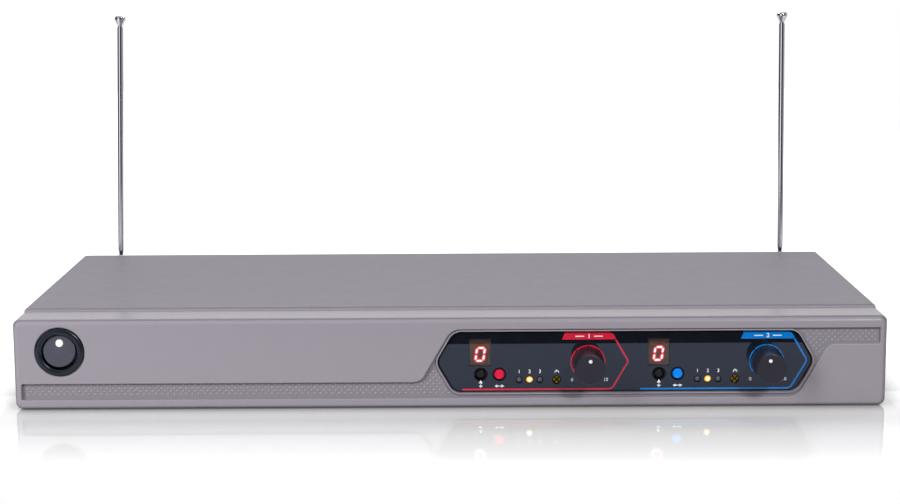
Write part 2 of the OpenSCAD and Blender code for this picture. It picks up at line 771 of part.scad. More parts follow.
// Main board and what it carries
module main_board() {
    color([0.08, 0.3, 0.16]) difference() {
        box([-main_board_w / 2, main_board_y[0], main_board_z],
            [main_board_w / 2, main_board_y[1], main_board_top]);
        for (x = main_screw_x, y = main_screw_y)
            translate([x, y, main_board_z - cut]) cylinder(r = screw_hole_r, h = board_t + 2 * cut);
    }
}
module board_screws() {
    color("silver") {
        for (x = main_screw_x, y = main_screw_y)
            translate([x, y, main_board_top]) screw(screw_len, screw_head_h);
        for (p = control_screw_places)
            translate([p[0], board_back, p[1]]) rotate([-90, 0, 0]) screw(screw_len, screw_head_h);
    }
}
shield_side = 65;
shield_x = bezel_w / 2 - shield_side;
shield_margin = 30;
shield_size = [60, 48, 15];
module tuner_shield(side) {
    wall = 0.6;
    y = main_board_front + shield_margin;
    color([0.78, 0.78, 0.76]) translate([side * shield_x - shield_size[0] / 2, y, main_board_top])
        difference() {
            cube(shield_size);
            translate([wall, wall, -cut]) cube(shield_size + [-2 * wall, -2 * wall, cut - wall]);
        }
}
module capacitors() {
    can_r = 5;
    can_h = 12;
    first_x = -70;
    pitch = 16;
    rear_margin = 22;
    color([0.1, 0.12, 0.2])
        for (k = [0 : 3])
            translate([first_x + pitch * k, main_board_y[1] - rear_margin, main_board_top])
                cylinder(r = can_r, h = can_h);
}
module heat_sink() {
    fins = 6;
    fin_t = 1.2;
    fin_pitch = 4;
    depth = 26;
    height = 18;
    size = [(fins - 1) * fin_pitch + fin_t, depth, height];
    base_t = 3;
    left_x = 30;
    rear_margin = 10;
    color([0.25, 0.25, 0.27]) translate([left_x, main_board_y[1] - size[1] - rear_margin, main_board_top]) {
        cube([size[0], size[1], base_t]);
        for (k = [0 : fins - 1])
            translate([k * fin_pitch, 0, base_t - fit]) cube([fin_t, size[1], size[2] - base_t + fit]);
    }
}
header_w = 28;
header_depth = 6;
ribbon_rise = 8;
ribbon_z = panel_z + ribbon_rise;
ribbon_margin = 18;
ribbon_down_y = main_board_front + ribbon_margin;
module board_headers() {
    thick = 5;
    color([0.12, 0.12, 0.13]) {
        box([panel_x - header_w / 2, board_back, ribbon_z - thick / 2],
            [panel_x + header_w / 2, board_back + header_depth, ribbon_z + thick / 2]);
        box([panel_x - header_w / 2, ribbon_down_y - thick / 2, main_board_top],
            [panel_x + header_w / 2, ribbon_down_y + thick / 2, main_board_top + header_depth]);
    }
}
module ribbon_cable() {
    ribbon_w = 25;
    t = 0.9;
    bend_r = 8;
    start = board_back + header_depth;
    end = main_board_top + header_depth;
    color([0.6, 0.6, 0.62]) translate([panel_x - ribbon_w / 2, 0, 0])
        rotate([90, 0, 90]) linear_extrude(ribbon_w) polygon(rounded([
            [start, ribbon_z + t / 2, 0], [start, ribbon_z - t / 2, 0],
            [ribbon_down_y - t / 2, ribbon_z - t / 2, bend_r - t / 2], [ribbon_down_y - t / 2, end, 0],
            [ribbon_down_y + t / 2, end, 0], [ribbon_down_y + t / 2, ribbon_z + t / 2, bend_r + t / 2]
        ]));
}
// A round lead that runs along y, bends down and stands on the main board
module lead_down(x, z, from, to, r, bend_r) {
    turn = to > from ? 1 : -1;
    translate([x, 0, z]) rod_y(r, min(from, to - turn * bend_r), max(from, to - turn * bend_r));
    translate([x, to - turn * bend_r, z - bend_r]) rotate([90, 0, 90]) rotate([0, 0, turn > 0 ? 0 : 90])
        rotate_extrude(angle = 90) translate([bend_r, 0]) circle(r = r);
    translate([x, to, main_board_top]) cylinder(r = r, h = z - bend_r - main_board_top);
}
module power_leads() {
    lead_r = 1;
    bend_r = 6;
    foot_margin = 16;
    foot_y = main_board_front + foot_margin;
    color([0.7, 0.1, 0.1])
        for (x = terminal_x)
            lead_down(switch_place[0] + x, switch_place[1], terminal_end, foot_y, lead_r, bend_r);
}
module antenna_leads() {
    lead_r = 1.2;
    bend_r = 8;
    foot_margin = 20;
    foot_y = main_board_y[1] - foot_margin;
    color([0.2, 0.2, 0.22])
        for (i = [1, 2])
            lead_down(antenna_at(i)[0], antenna_z, bush_inner_y - shaft_reach, foot_y, lead_r, bend_r);
}

// Rear connectors
xlr_shell_r = 11.9;
xlr_flange = [26, 31];
xlr_flange_t = 2;
xlr_flange_corner_r = 2;
xlr_screw_places = [[-9.5, 12], [9.5, -12]];
xlr_well_depth = 14;
xlr_pin_sink = 4.5;
xlr_pin_r = 1.18;
xlr_back_t = 5;
xlr_pin_circle_r = 3.9;
xlr_pin_places = [for (turn = [0, 90, 180]) xlr_pin_circle_r * [cos(turn), sin(turn)]];
module xlr_output(i) {
    front = rear_y + xlr_flange_t;
    floor_y = front - xlr_well_depth;
    color([0.12, 0.12, 0.13]) at(output_places[i - 1]) difference() {
        union() {
            plate_y(rear_y, xlr_flange_t) polygon(rounded_box(
                xlr_flange[0], -xlr_flange[1] / 2, xlr_flange[1] / 2, xlr_flange_corner_r));
            rod_y(xlr_shell_r, floor_y - xlr_back_t, rear_y + fit);
        }
        rod_y(xlr_well_r, floor_y, front + cut);
        for (p = xlr_screw_places)
            at(p) rod_y(screw_hole_r, rear_y - cut, front + cut);
        for (p = xlr_pin_places)
            at(p) rod_y(xlr_pin_r + fit, floor_y - xlr_back_t - cut, floor_y + cut);
    }
}
module xlr_pins() {
    front = rear_y + xlr_flange_t;
    tail = 4;
    color([0.8, 0.78, 0.7])
        for (i = [0, 1], p = xlr_pin_places)
            at(output_places[i] + p)
                rod_y(xlr_pin_r, front - xlr_well_depth - xlr_back_t - tail, front - xlr_pin_sink);
}
jack_thread_r = 4.8;
jack_nut_t = 2;
jack_depth = 24;
module mix_jack() {
    side = 15;
    barrel_out = 3.5;
    back_t = 2;
    color([0.1, 0.1, 0.11]) at(jack_place) difference() {
        union() {
            rod_y(jack_thread_r, rear_inner_y - fit, rear_y + barrel_out);
            box([-side / 2, rear_inner_y - jack_depth, -side / 2], [side / 2, rear_inner_y, side / 2]);
        }
        rod_y(jack_bore_r, rear_inner_y - jack_depth + back_t, rear_y + barrel_out + cut);
    }
}
module jack_nut() {
    across = 13;
    color("silver") at(jack_place) difference() {
        translate([0, rear_y, 0]) rotate([-90, 0, 0])
            cylinder(d = across / cos(30), h = jack_nut_t, $fn = 6);
        rod_y(jack_thread_r + fit, rear_y - cut, rear_y + jack_nut_t + cut);
    }
}
inlet_thread_r = 4.2;
module dc_inlet() {
    flange_r = 6;
    flange_t = 1.5;
    depth = 13;
    bore_depth = 9.5;
    pin_r = 1.05;
    pin_sink = 0.5;
    back_t = 1;
    color([0.07, 0.07, 0.08]) at(inlet_place) {
        difference() {
            union() {
                rod_y(flange_r, rear_y, rear_y + flange_t);
                rod_y(inlet_thread_r, rear_y - depth, rear_y + fit);
            }
            rod_y(inlet_bore_r, rear_y + flange_t - bore_depth, rear_y + flange_t + cut);
        }
        rod_y(pin_r, rear_y - depth + back_t, rear_y - pin_sink);
    }
}

// Antennas: a fork swivels in a bushing on the rear panel, and the whip folds on the fork's pin
bush_thread_r = 4;
bush_bore_r = 2.55;
bush_flange_t = 1.5;
bush_reach = 8;
bush_inner_y = rear_y - bush_reach;
shaft_reach = 0.5;
nut_t = 2.5;
elbow_pin_r = 1;
tang_t = 2;
ear_t = 1.3;
ear_gap = 0.15;
function antenna_side(i) = i == 1 ? -1 : 1;
function antenna_at(i) = [antenna_side(i) * antenna_place[0], antenna_place[1]];
function antenna_lean(i) = i == 1 ? antenna_lean_1 : antenna_lean_2;
module at_elbow(i) {
    at(antenna_at(i)) translate([0, antenna_y, 0])
        rotate([0, -antenna_side(i) * antenna_lean(i), 0]) children();
}
module antenna_bushings() {
    flange_r = 6;
    color([0.07, 0.07, 0.08])
        for (i = [1, 2]) at(antenna_at(i)) difference() {
            union() {
                rod_y(flange_r, rear_y, rear_y + bush_flange_t);
                rod_y(bush_thread_r, bush_inner_y, rear_y + fit);
            }
            rod_y(bush_bore_r, bush_inner_y - cut, rear_y + bush_flange_t + cut);
        }
}
module antenna_nuts() {
    across = 11;
    color("silver")
        for (i = [1, 2]) at(antenna_at(i)) difference() {
            translate([0, rear_inner_y - nut_t, 0]) rotate([-90, 0, 0])
                cylinder(d = across / cos(30), h = nut_t, $fn = 6);
            rod_y(bush_thread_r + fit, rear_inner_y - nut_t - cut, rear_y);
        }
}
module antenna_fork(i) {
    head_r = 4.2;
    head_from = bush_flange_t + gap - elbow_out;
    head_to = head_from + 2;
    inner = tang_t / 2 + ear_gap;
    color([0.72, 0.72, 0.74]) at_elbow(i) difference() {
        union() {
            rod_y(bush_bore_r - fit, bush_inner_y - shaft_reach - antenna_y, head_from + fit);
            rod_y(head_r, head_from, head_to);
            for (side = [-1, 1])
                translate([side * (inner + ear_t / 2) - ear_t / 2, 0, 0]) {
                    rod_x(ear_r, 0, ear_t);
                    box([0, head_to - fit, -ear_r], [ear_t, 0, ear_r]);
                }
        }
        rod_x(elbow_pin_r + fit, -inner - 2 * ear_t, inner + 2 * ear_t);
    }
}
module elbow_pin(i) {
    reach = tang_t / 2 + ear_gap + ear_t;
    head_r = 1.7;
    head_t = 0.6;
    color("silver") at_elbow(i) {
        rod_x(elbow_pin_r, -reach - fit, reach + fit);
        rod_x(head_r, -reach - head_t, -reach);
        rod_x(head_r, reach, reach + head_t);
    }
}
middle_r = outer_r - tube_wall - slide_fit;
rod_r = middle_r - tube_wall - slide_fit;
tube_foot = 12;
section_step = 1;
module antenna_outer(i) {
    tang_w = 4.4;
    tang_h = 8;
    neck_r = 1.2;
    neck_h = 3;
    neck_bite = 1;
    color([0.85, 0.85, 0.87]) at_elbow(i) difference() {
        union() {
            rod_x(tang_w / 2, -tang_t / 2, tang_t / 2);
            box([-tang_t / 2, -tang_w / 2, 0], [tang_t / 2, tang_w / 2, tang_h]);
            translate([0, 0, tang_h - neck_bite]) cylinder(r = neck_r, h = 2 * neck_bite);
            translate([0, 0, tang_h]) cylinder(r1 = neck_r, r2 = outer_r, h = neck_h);
            translate([0, 0, tang_h + neck_h - fit])
                cylinder(r = outer_r, h = outer_len - tang_h - neck_h + fit);
        }
        translate([0, 0, tube_foot]) cylinder(r = outer_r - tube_wall, h = outer_len);
        rod_x(elbow_pin_r + fit, -tang_t, tang_t);
    }
}
middle_out = 0.8;
middle_top = outer_len + middle_out;
middle_foot = tube_foot + section_step;
plug_t = 2;
module antenna_middle(i) {
    color([0.85, 0.85, 0.87]) at_elbow(i) difference() {
        translate([0, 0, middle_foot]) cylinder(r = middle_r, h = middle_top - middle_foot);
        translate([0, 0, middle_foot + plug_t]) cylinder(r = middle_r - tube_wall, h = outer_len);
    }
}
module antenna_tip(i) {
    low = middle_top + gap;
    foot = middle_foot + plug_t + section_step;
    neck_r = 1.4;
    flare_h = 0.6 * tip_h;
    belly_h = 0.8 * tip_h;
    shoulder = [0.72 * tip_r, tip_h - 0.3];
    crown_r = 0.5 * tip_r;
    color([0.85, 0.85, 0.87]) at_elbow(i) {
        translate([0, 0, foot]) cylinder(r = rod_r, h = low - foot + fit);
        translate([0, 0, low]) rotate_extrude() polygon([
            [0, 0], [neck_r, 0], [tip_r, flare_h], [tip_r, belly_h], shoulder, [crown_r, tip_h], [0, tip_h]
        ]);
    }
}

place() front_bezel();
place() top_cover();
place() base_pan();
place() rear_panel();
place() rubber_feet();
place() case_screws();
place() control_panel();
place() digit_segments();
place() lit_lamps();
place() unlit_lamps();
place() control_board();
place() board_screws();
place() tact_switches();
place() trimmer_bodies();
place() potentiometers();
place() switch_housing();
place() switch_terminals();
place() main_board();
place() capacitors();
place() heat_sink();
place() board_headers();
place() ribbon_cable();
place() power_leads();
place() antenna_leads();
place() xlr_pins();
place() mix_jack();
place() jack_nut();
place() dc_inlet();
place() antenna_bushings();
place() antenna_nuts();
place() power_rocker();
for (i = [1, 2]) {
    place() display_window(i);
    place() display_module(i);
    place() tuner_shield(antenna_side(i));
    place() xlr_output(i);
    place() volume_knob(i);
    place() pot_shaft(i);
    place() channel_button(i);
    place() sync_button(i);
    place() squelch_rotor(i);
    place() antenna_fork(i);
    place() elbow_pin(i);
    place() antenna_outer(i);
    place() antenna_middle(i);
    place() antenna_tip(i);
}
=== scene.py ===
"""Looks of a two-channel wireless microphone receiver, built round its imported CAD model."""

import json
import math

import bmesh
import bpy
from mathutils import Matrix, Vector
from mathutils.bvhtree import BVHTree

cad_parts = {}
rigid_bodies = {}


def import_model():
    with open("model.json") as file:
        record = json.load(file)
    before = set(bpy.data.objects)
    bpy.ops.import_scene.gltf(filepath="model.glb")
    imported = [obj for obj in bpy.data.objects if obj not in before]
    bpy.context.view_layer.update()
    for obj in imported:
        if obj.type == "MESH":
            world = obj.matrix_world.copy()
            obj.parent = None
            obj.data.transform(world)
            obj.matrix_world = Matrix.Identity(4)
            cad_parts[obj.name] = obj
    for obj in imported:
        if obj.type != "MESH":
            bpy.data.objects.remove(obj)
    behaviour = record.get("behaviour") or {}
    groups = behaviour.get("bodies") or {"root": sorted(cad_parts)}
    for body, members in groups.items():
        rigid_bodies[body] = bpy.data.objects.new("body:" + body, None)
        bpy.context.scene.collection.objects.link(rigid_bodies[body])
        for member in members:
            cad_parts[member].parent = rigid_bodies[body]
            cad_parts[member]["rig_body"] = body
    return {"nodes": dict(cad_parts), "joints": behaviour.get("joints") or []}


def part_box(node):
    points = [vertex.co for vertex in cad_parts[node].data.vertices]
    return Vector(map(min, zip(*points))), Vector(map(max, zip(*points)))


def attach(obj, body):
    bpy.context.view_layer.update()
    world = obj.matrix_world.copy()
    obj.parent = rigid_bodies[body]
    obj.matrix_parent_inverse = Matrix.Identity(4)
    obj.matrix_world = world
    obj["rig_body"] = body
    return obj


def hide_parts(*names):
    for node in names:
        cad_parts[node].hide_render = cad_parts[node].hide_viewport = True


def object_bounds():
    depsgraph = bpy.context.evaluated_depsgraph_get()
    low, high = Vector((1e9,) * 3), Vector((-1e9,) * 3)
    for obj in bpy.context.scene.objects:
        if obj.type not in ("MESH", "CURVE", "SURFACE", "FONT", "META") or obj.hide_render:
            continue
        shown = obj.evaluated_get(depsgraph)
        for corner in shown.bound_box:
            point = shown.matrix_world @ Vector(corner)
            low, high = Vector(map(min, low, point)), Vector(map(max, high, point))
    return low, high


bl_info = {
    "name": "Wireless receiver looks",
    "version": (1, 0, 0),
    "blender": (4, 5, 0),
    "location": "View3D > Sidebar > Receiver",
    "description": "Dresses the packed receiver in its finishes and sets up its studio",
    "category": "Object",
}

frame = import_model()
CAD_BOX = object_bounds()
NODES = frame["nodes"]
JOINTS = {joint["name"]: joint for joint in frame["joints"]}
MM = 0.001
CHANNELS = (1, 2)
FORWARD = Vector((0.0, 1.0, 0.0))
RAY_START = 10.0 * MM
FLAT_ANGLE = 0.5
TURNED_JOIN = 0.0005 * MM
ROCKER_FACE = -3.6 * MM

# Grain and streaks of the finishes
BROAD_GRAIN = 140.0
STREAKS = 900.0
EVEN = (1.0, 1.0, 1.0)
ALONG_Y = (1.0, 0.05, 1.0)
ALONG_Z = (1.0, 1.0, 0.05)
ALONG_ROD = (1.0, 1.0, 0.02)

# Numerals, as shares of their height
FONT_SIZE = 1.38
FONT_WEIGHT = 0.02

# Print on the panel, from a knob's axis or from the panel's lower or upper edge
LINE_RISE = 1.43 * MM
LINE_START = -60.8 * MM
LINE_TIP = 19.4 * MM
LINE_SLOPE = math.radians(60.0)
LINE_BEND = 3.2 * MM
LINE_TIP_BEND = 2.4 * MM
TAB_FOOT = 4.35 * MM
TAB_HEAD = 0.25 * MM
TAB_BEND = 3.0 * MM
TAB_LEFT = (-12.6 * MM, -11.3 * MM)
TAB_MIDDLE = 0.4 * MM
TAB_SIGN_DROP = 2.75 * MM
TAB_NUMERAL = 2.2 * MM
SCALE_PARTS = ((-128, -47), (-43.5, -1.5), (1.5, 43.5), (47, 128))
DIAL_RISE = 5.96 * MM
DIAL_ENDS = (("0", -7.7 * MM), ("10", 8.6 * MM))
SIGN_RISE = 10.2 * MM
LAMP_NUMBERS = (("1", -33.2 * MM), ("2", -28.2 * MM), ("3", -23.2 * MM))
BUTTON_SIGN_RISE = 3.1 * MM

# Numerals on the rear, from an output's middle
REAR_NUMERAL = 3.2 * MM
REAR_NUMERAL_ASIDE = 16.5 * MM

# Studio, in metres and degrees
CAMERA_PLACE = (0.00264, -0.98524, 0.22788)
CAMERA_YAW, CAMERA_PITCH, CAMERA_ROLL = (0.146, -9.575, -0.339)
LAMP_TARGET_HEIGHT = 0.03
CONTACT_SHADE = 0.013


def colour(name, description, default):
    """A colour that a user can change, in linear light."""
    return bpy.props.FloatVectorProperty(
        name=name, description=description, default=default, subtype="COLOR", size=3, min=0.0, max=1.0
    )


def length(name, description, default):
    """A length that a user can change, in metres."""
    return bpy.props.FloatProperty(
        name=name, description=description, default=default, subtype="DISTANCE", unit="LENGTH",
        min=0.0, precision=5,
    )


def amount(name, description, default, unit="NONE"):
    """A plain number or a lamp's power that a user can change."""
    return bpy.props.FloatProperty(name=name, description=description, default=default, unit=unit)


class ReceiverFinish(bpy.types.PropertyGroup):
    """Colours of the receiver's finishes"""

    front: colour("Moulded front", "Warm grey of the moulded front", (0.326, 0.298, 0.343))
    # The band's colour is darker than the front's as painted shade of the recess; its rougher texture is its
    # own
    band: colour("Recessed band", "Textured floor of the recessed band", (0.24, 0.222, 0.255))
    cover: colour("Steel cover", "Warm grey powder coat of the cover", (0.242, 0.22, 0.263))
    rear: colour("Rear panel", "Black powder coat of the rear", (0.022, 0.022, 0.024))
    panel: colour("Control panel", "Polished black of the panel", (0.007, 0.008, 0.013))
    red: colour("First channel", "Red of the first channel's lines", (0.62, 0.016, 0.045))
    blue: colour("Second channel", "Blue of the second channel's lines", (0.0, 0.19, 0.62))
    white: colour("White print", "White of signs and pointers", (0.9, 0.9, 0.92))
    knob: colour("Knob", "Charcoal of the volume knobs", (0.017, 0.016, 0.027))
    rocker: colour("Rocker", "Charcoal of the power rocker", (0.062, 0.062, 0.086))
    amber: colour("Lit lamp", "Amber of a lit lamp's rim", (1.0, 0.42, 0.03))
    digit: colour("Lit digit", "Red of the digits' edges", (1.0, 0.0, 0.12))
    smoke: colour("Display window", "Smoked brown of the display windows", (0.42, 0.33, 0.28))
    chrome: colour("Chrome", "Plating of the antennas", (0.78, 0.80, 0.87))


class ReceiverSizes(bpy.types.PropertyGroup):
    """Sizes of the details that are added to the CAD model"""

    recess_edge: length("Recess edge", "Rounding of the edges round the recessed band", 0.5 * MM)
    rim_edge: length("Rim edge", "Rounding of the rim round the panel", 0.2 * MM)
    cover_edge: length("Cover edge", "Rounding of the cover's cut edges", 0.3 * MM)
    panel_edge: length("Panel edge", "Chamfer round the control panel", 0.85 * MM)
    dot_pitch: length("Dot pitch", "Distance between dots in a row of the band", 2.95 * MM)
    dot_radius: length("Dot radius", "Radius of a dot in the band", 0.58 * MM)
    dot_height: length("Dot height", "How far a dot stands out of the band's floor", 0.24 * MM)
    line_width: length("Line width", "Width of a channel's coloured line", 0.82 * MM)
    arc_radius: length("Scale radius", "Radius of the coloured scale round a knob", 8.15 * MM)
    arc_width: length("Scale width", "Width of the coloured scale round a knob", 0.65 * MM)
    print_height: length("Print thickness", "Thickness of the printed layer", 0.03 * MM)
    pointer_height: length("Pointer height", "How far a knob's white dot stands out of its face", 0.06 * MM)
    numeral: length("Numeral height", "Height of the small numerals", 1.7 * MM)


class ReceiverStage(bpy.types.PropertyGroup):
    """Floor, lamps and camera"""

    floor: colour("Floor", "Colour of the floor", (0.93, 0.93, 0.93))
    floor_front: length("Floor in front", "Length of floor in front of the receiver", 0.14)
    floor_width: length("Floor width", "Width of the floor", 1.0)
    floor_lift: amount("Floor lift", "White added for the camera", 0.8)
    floor_bounce: amount("Floor bounce", "Share of the floor's light that reaches the receiver", 0.35)
    key_power: amount("Key lamp", "Power of the key lamp", 11.6, "POWER")
    fill_power: amount("Fill lamp", "Power of the fill lamp", 11.2, "POWER")
    strip_power: amount("Strip lamp", "Power of the strip", 1.5, "POWER")
    top_power: amount("Top lamp", "Power of the top lamp", 7.6, "POWER")
    sky: amount("Sky", "Strength of the surrounding light", 0.5)
    back_tone: amount("Rear tone", "Brightness of the studio behind", 1.0)
    side_tone: amount("Side tone", "Brightness on the right", 0.4)
    lens: amount("Lens", "Focal length in millimetres", 76.46)


def finish():
    """The colours in the scene's settings."""
    return bpy.context.scene.receiver_finish


def sizes():
    """The sizes in the scene's settings."""
    return bpy.context.scene.receiver_sizes


def stage():
    """The stage values in the scene's settings."""
    return bpy.context.scene.receiver_stage


def node_body(node):
    """The body that a CAD node rides on."""
    return NODES[node]["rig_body"]


def axis_point(joint):
    """A joint's place in the frame."""
    return Vector(JOINTS[joint]["pos_m"])


# Materials

def link(tree, source, output, target, socket):
    """Joins two sockets of a node tree."""
    tree.links.new(source.outputs[output], target.inputs[socket])


def new_group(name, inputs, outputs):
    """An empty shader group with named sockets, its input node and its output node."""
    group = bpy.data.node_groups.new(name, "ShaderNodeTree")
    for label, kind, default in inputs:
        socket = group.interface.new_socket(label, in_out="INPUT", socket_type=kind)
        if default is not None:
            socket.default_value = default
    for label, kind in outputs:
        group.interface.new_socket(label, in_out="OUTPUT", socket_type=kind)
    return group, group.nodes.new("NodeGroupInput"), group.nodes.new("NodeGroupOutput")


def maths(tree, operation, *terms):
    """An operation on numbers and on sockets, which are given as a node and its output."""
    node = tree.nodes.new("ShaderNodeMath")
    node.operation = operation
    for index, term in enumerate(terms):
        if isinstance(term, tuple):
            link(tree, *term, node, index)
        else:
            node.inputs[index].default_value = term
    return node


def larger(tree, first, second):
    """The larger of two values, which are given as a node and its output."""
    return maths(tree, "MAXIMUM", first, second)


def vectors(tree, operation, source, output, other=None):
    """An operation on a vector from a socket, and on a fixed vector where one is given."""
    node = tree.nodes.new("ShaderNodeVectorMath")
    node.operation = operation
    link(tree, source, output, node, 0)
    if other:
        node.inputs[1].default_value = other
    return node


def noise(tree, source, vector, scale, detail=3.0):
    """A noise texture on a vector, with its scale from a socket or a number."""
    texture = tree.nodes.new("ShaderNodeTexNoise")
    texture.inputs["Detail"].default_value = detail
    link(tree, source, vector, texture, "Vector")
    if isinstance(scale, str):
        link(tree, source, scale, texture, "Scale")
    else:
        texture.inputs["Scale"].default_value = scale
    return texture


def spread(tree, source, output, low, high, from_low=0.35, from_high=0.65):
    """Maps a value, by default the middle of a noise, on to a range whose ends are numbers or sockets."""
    ranged = tree.nodes.new("ShaderNodeMapRange")
    ranged.inputs["From Min"].default_value = from_low
    ranged.inputs["From Max"].default_value = from_high
    link(tree, source, output, ranged, "Value")
    for socket, value in (("To Min", low), ("To Max", high)):
        if isinstance(value, tuple):
            link(tree, *value, ranged, socket)
        else:
            ranged.inputs[socket].default_value = value
    return ranged


def switch(tree, source, output, off, on):
    """One value where a socket is 0 and another where it is 1."""
    return spread(tree, source, output, off, on, from_low=0.0, from_high=1.0)


def tinted(tree, source, output, base, base_output):
    """A colour times a value."""
    mix = vectors(tree, "SCALE", base, base_output)
    link(tree, source, output, mix, "Scale")
    return mix


def grain_group():
    """Fine moulded or sprayed grain: a broad change of tone, an uneven gloss and a fine height."""
    group, start, end = new_group(
        "Surface grain",
        [
            ("Vector", "NodeSocketVector", None),
            ("Color", "NodeSocketColor", None),
            ("Grain Scale", "NodeSocketFloat", 2500.0),
            ("Tone", "NodeSocketFloat", 0.04),
            ("Roughness Low", "NodeSocketFloat", 0.4),
            ("Roughness High", "NodeSocketFloat", 0.5),
        ],
        [("Color", "NodeSocketColor"), ("Roughness", "NodeSocketFloat"), ("Height", "NodeSocketFloat")],
    )
    fine = noise(group, start, "Vector", "Grain Scale")
    broad = noise(group, start, "Vector", BROAD_GRAIN)
    low = maths(group, "SUBTRACT", 1.0, (start, "Tone"))
    high = maths(group, "ADD", 1.0, (start, "Tone"))
    both = maths(group, "ADD", (fine, "Fac"), (broad, "Fac"))
    tone = spread(group, both, "Value", (low, "Value"), (high, "Value"), from_low=0.7, from_high=1.3)
    tint = tinted(group, tone, "Result", start, "Color")
    gloss = spread(group, broad, "Fac", (start, "Roughness Low"), (start, "Roughness High"))
    link(group, tint, "Vector", end, "Color")
    link(group, gloss, "Result", end, "Roughness")
    link(group, fine, "Fac", end, "Height")
    return group


def drawn_group():
    """Drawn or turned metal: streaks in the tone and the gloss, as long as the vector makes them."""
    group, start, end = new_group(
        "Drawn metal",
        [
            ("Vector", "NodeSocketVector", None),
            ("Color", "NodeSocketColor", None),
            ("Roughness Low", "NodeSocketFloat", 0.1),
            ("Roughness High", "NodeSocketFloat", 0.2),
        ],
        [("Color", "NodeSocketColor"), ("Roughness", "NodeSocketFloat")],
    )
    streak = noise(group, start, "Vector", STREAKS, detail=4.0)
    tone = spread(group, streak, "Fac", 0.94, 1.04)
    tint = tinted(group, tone, "Result", start, "Color")
    gloss = spread(group, streak, "Fac", (start, "Roughness Low"), (start, "Roughness High"))
    link(group, tint, "Vector", end, "Color")
    link(group, gloss, "Result", end, "Roughness")
    return group


def shared_group(name, build):
    """A node group that is built once and then shared."""
    return bpy.data.node_groups.get(name) or build()


def new_material(name):
    """A material with its tree, its shader and object coordinates."""
    material = bpy.data.materials.new(name)
    material.use_nodes = True
    tree = material.node_tree
    place = tree.nodes.new("ShaderNodeTexCoord")
    return material, tree, tree.nodes["Principled BSDF"], place


def bump_from(tree, source, output, shader, depth):
    """Feeds a height into the shader's normal, with its depth in metres."""
    bump = tree.nodes.new("ShaderNodeBump")
    bump.inputs["Strength"].default_value = 1.0
    bump.inputs["Distance"].default_value = depth
    link(tree, source, output, bump, "Height")
    link(tree, bump, "Normal", shader, "Normal")


def grain_node(tree, place, shader, base, scale, tone, roughness):
    """The shared grain in a material, linked to the shader's colour."""
    grain = tree.nodes.new("ShaderNodeGroup")
    grain.node_tree = shared_group("Surface grain", grain_group)
    grain.inputs["Color"].default_value = (*base, 1.0)
    grain.inputs["Grain Scale"].default_value = scale
    grain.inputs["Tone"].default_value = tone
    grain.inputs["Roughness Low"].default_value = roughness[0]
    grain.inputs["Roughness High"].default_value = roughness[1]
    link(tree, place, "Object", grain, "Vector")
    link(tree, grain, "Color", shader, "Base Color")
    return grain


def grained(name, base, roughness, scale=2500.0, depth=0.01 * MM, tone=0.04, specular=0.5, tint=None):
    """Moulded plastic, rubber or paint with a fine grain, whose reflections may have a tint."""
    material, tree, shader, place = new_material(name)
    grain = grain_node(tree, place, shader, base, scale, tone, roughness)
    link(tree, grain, "Roughness", shader, "Roughness")
    shader.inputs["Specular IOR Level"].default_value = specular
    if tint:
        shader.inputs["Specular Tint"].default_value = (*tint, 1.0)
    if depth:
        bump_from(tree, grain, "Height", shader, depth)
    return material


def metal(name, base, roughness, stretch=EVEN):
    """Plated or drawn metal with streaks along the axis on which the stretch is small."""
    material, tree, shader, place = new_material(name)
    mapping = tree.nodes.new("ShaderNodeMapping")
    mapping.inputs["Scale"].default_value = stretch
    link(tree, place, "Object", mapping, "Vector")
    drawn = tree.nodes.new("ShaderNodeGroup")
    drawn.node_tree = shared_group("Drawn metal", drawn_group)
    drawn.inputs["Color"].default_value = (*base, 1.0)
    drawn.inputs["Roughness Low"].default_value = roughness[0]
    drawn.inputs["Roughness High"].default_value = roughness[1]
    link(tree, mapping, "Vector", drawn, "Vector")
    link(tree, drawn, "Color", shader, "Base Color")
    link(tree, drawn, "Roughness", shader, "Roughness")
    shader.inputs["Metallic"].default_value = 1.0
    return material


def glowing(name, base, strength):
    """A lit surface whose light is a little uneven."""
    material, tree, shader, place = new_material(name)
    grain = grain_node(tree, place, shader, base, scale=3000.0, tone=0.05, roughness=(0.4, 0.5))
    link(tree, grain, "Color", shader, "Emission Color")
    shader.inputs["Emission Strength"].default_value = strength
    shader.inputs["Roughness"].default_value = 0.4
    return material


def smoked(name, base):
    """Smoked clear plastic with faint polishing marks."""
    material, tree, shader, place = new_material(name)
    grain = grain_node(tree, place, shader, base, scale=1500.0, tone=0.02, roughness=(0.02, 0.05))
    link(tree, grain, "Roughness", shader, "Roughness")
    shader.inputs["Transmission Weight"].default_value = 1.0
    shader.inputs["IOR"].default_value = 1.49
    return material


def solder_mask(name, base):
    """A circuit board: green mask with paler copper runs and pads under it."""
    material, tree, shader, place = new_material(name)
    runs = tree.nodes.new("ShaderNodeTexBrick")
    runs.inputs["Scale"].default_value = 160.0
    runs.inputs["Mortar Size"].default_value = 0.035
    runs.inputs["Color1"].default_value = (*base, 1.0)
    darker, paler = ([min(1.0, part * share) for part in base] for share in (0.8, 2.4))
    runs.inputs["Color2"].default_value = (*darker, 1.0)
    runs.inputs["Mortar"].default_value = (*paler, 1.0)
    link(tree, place, "Object", runs, "Vector")
    link(tree, runs, "Color", shader, "Base Color")
    bump_from(tree, runs, "Fac", shader, 0.03 * MM)
    shader.inputs["Roughness"].default_value = 0.35
    return material


# Mesh helpers

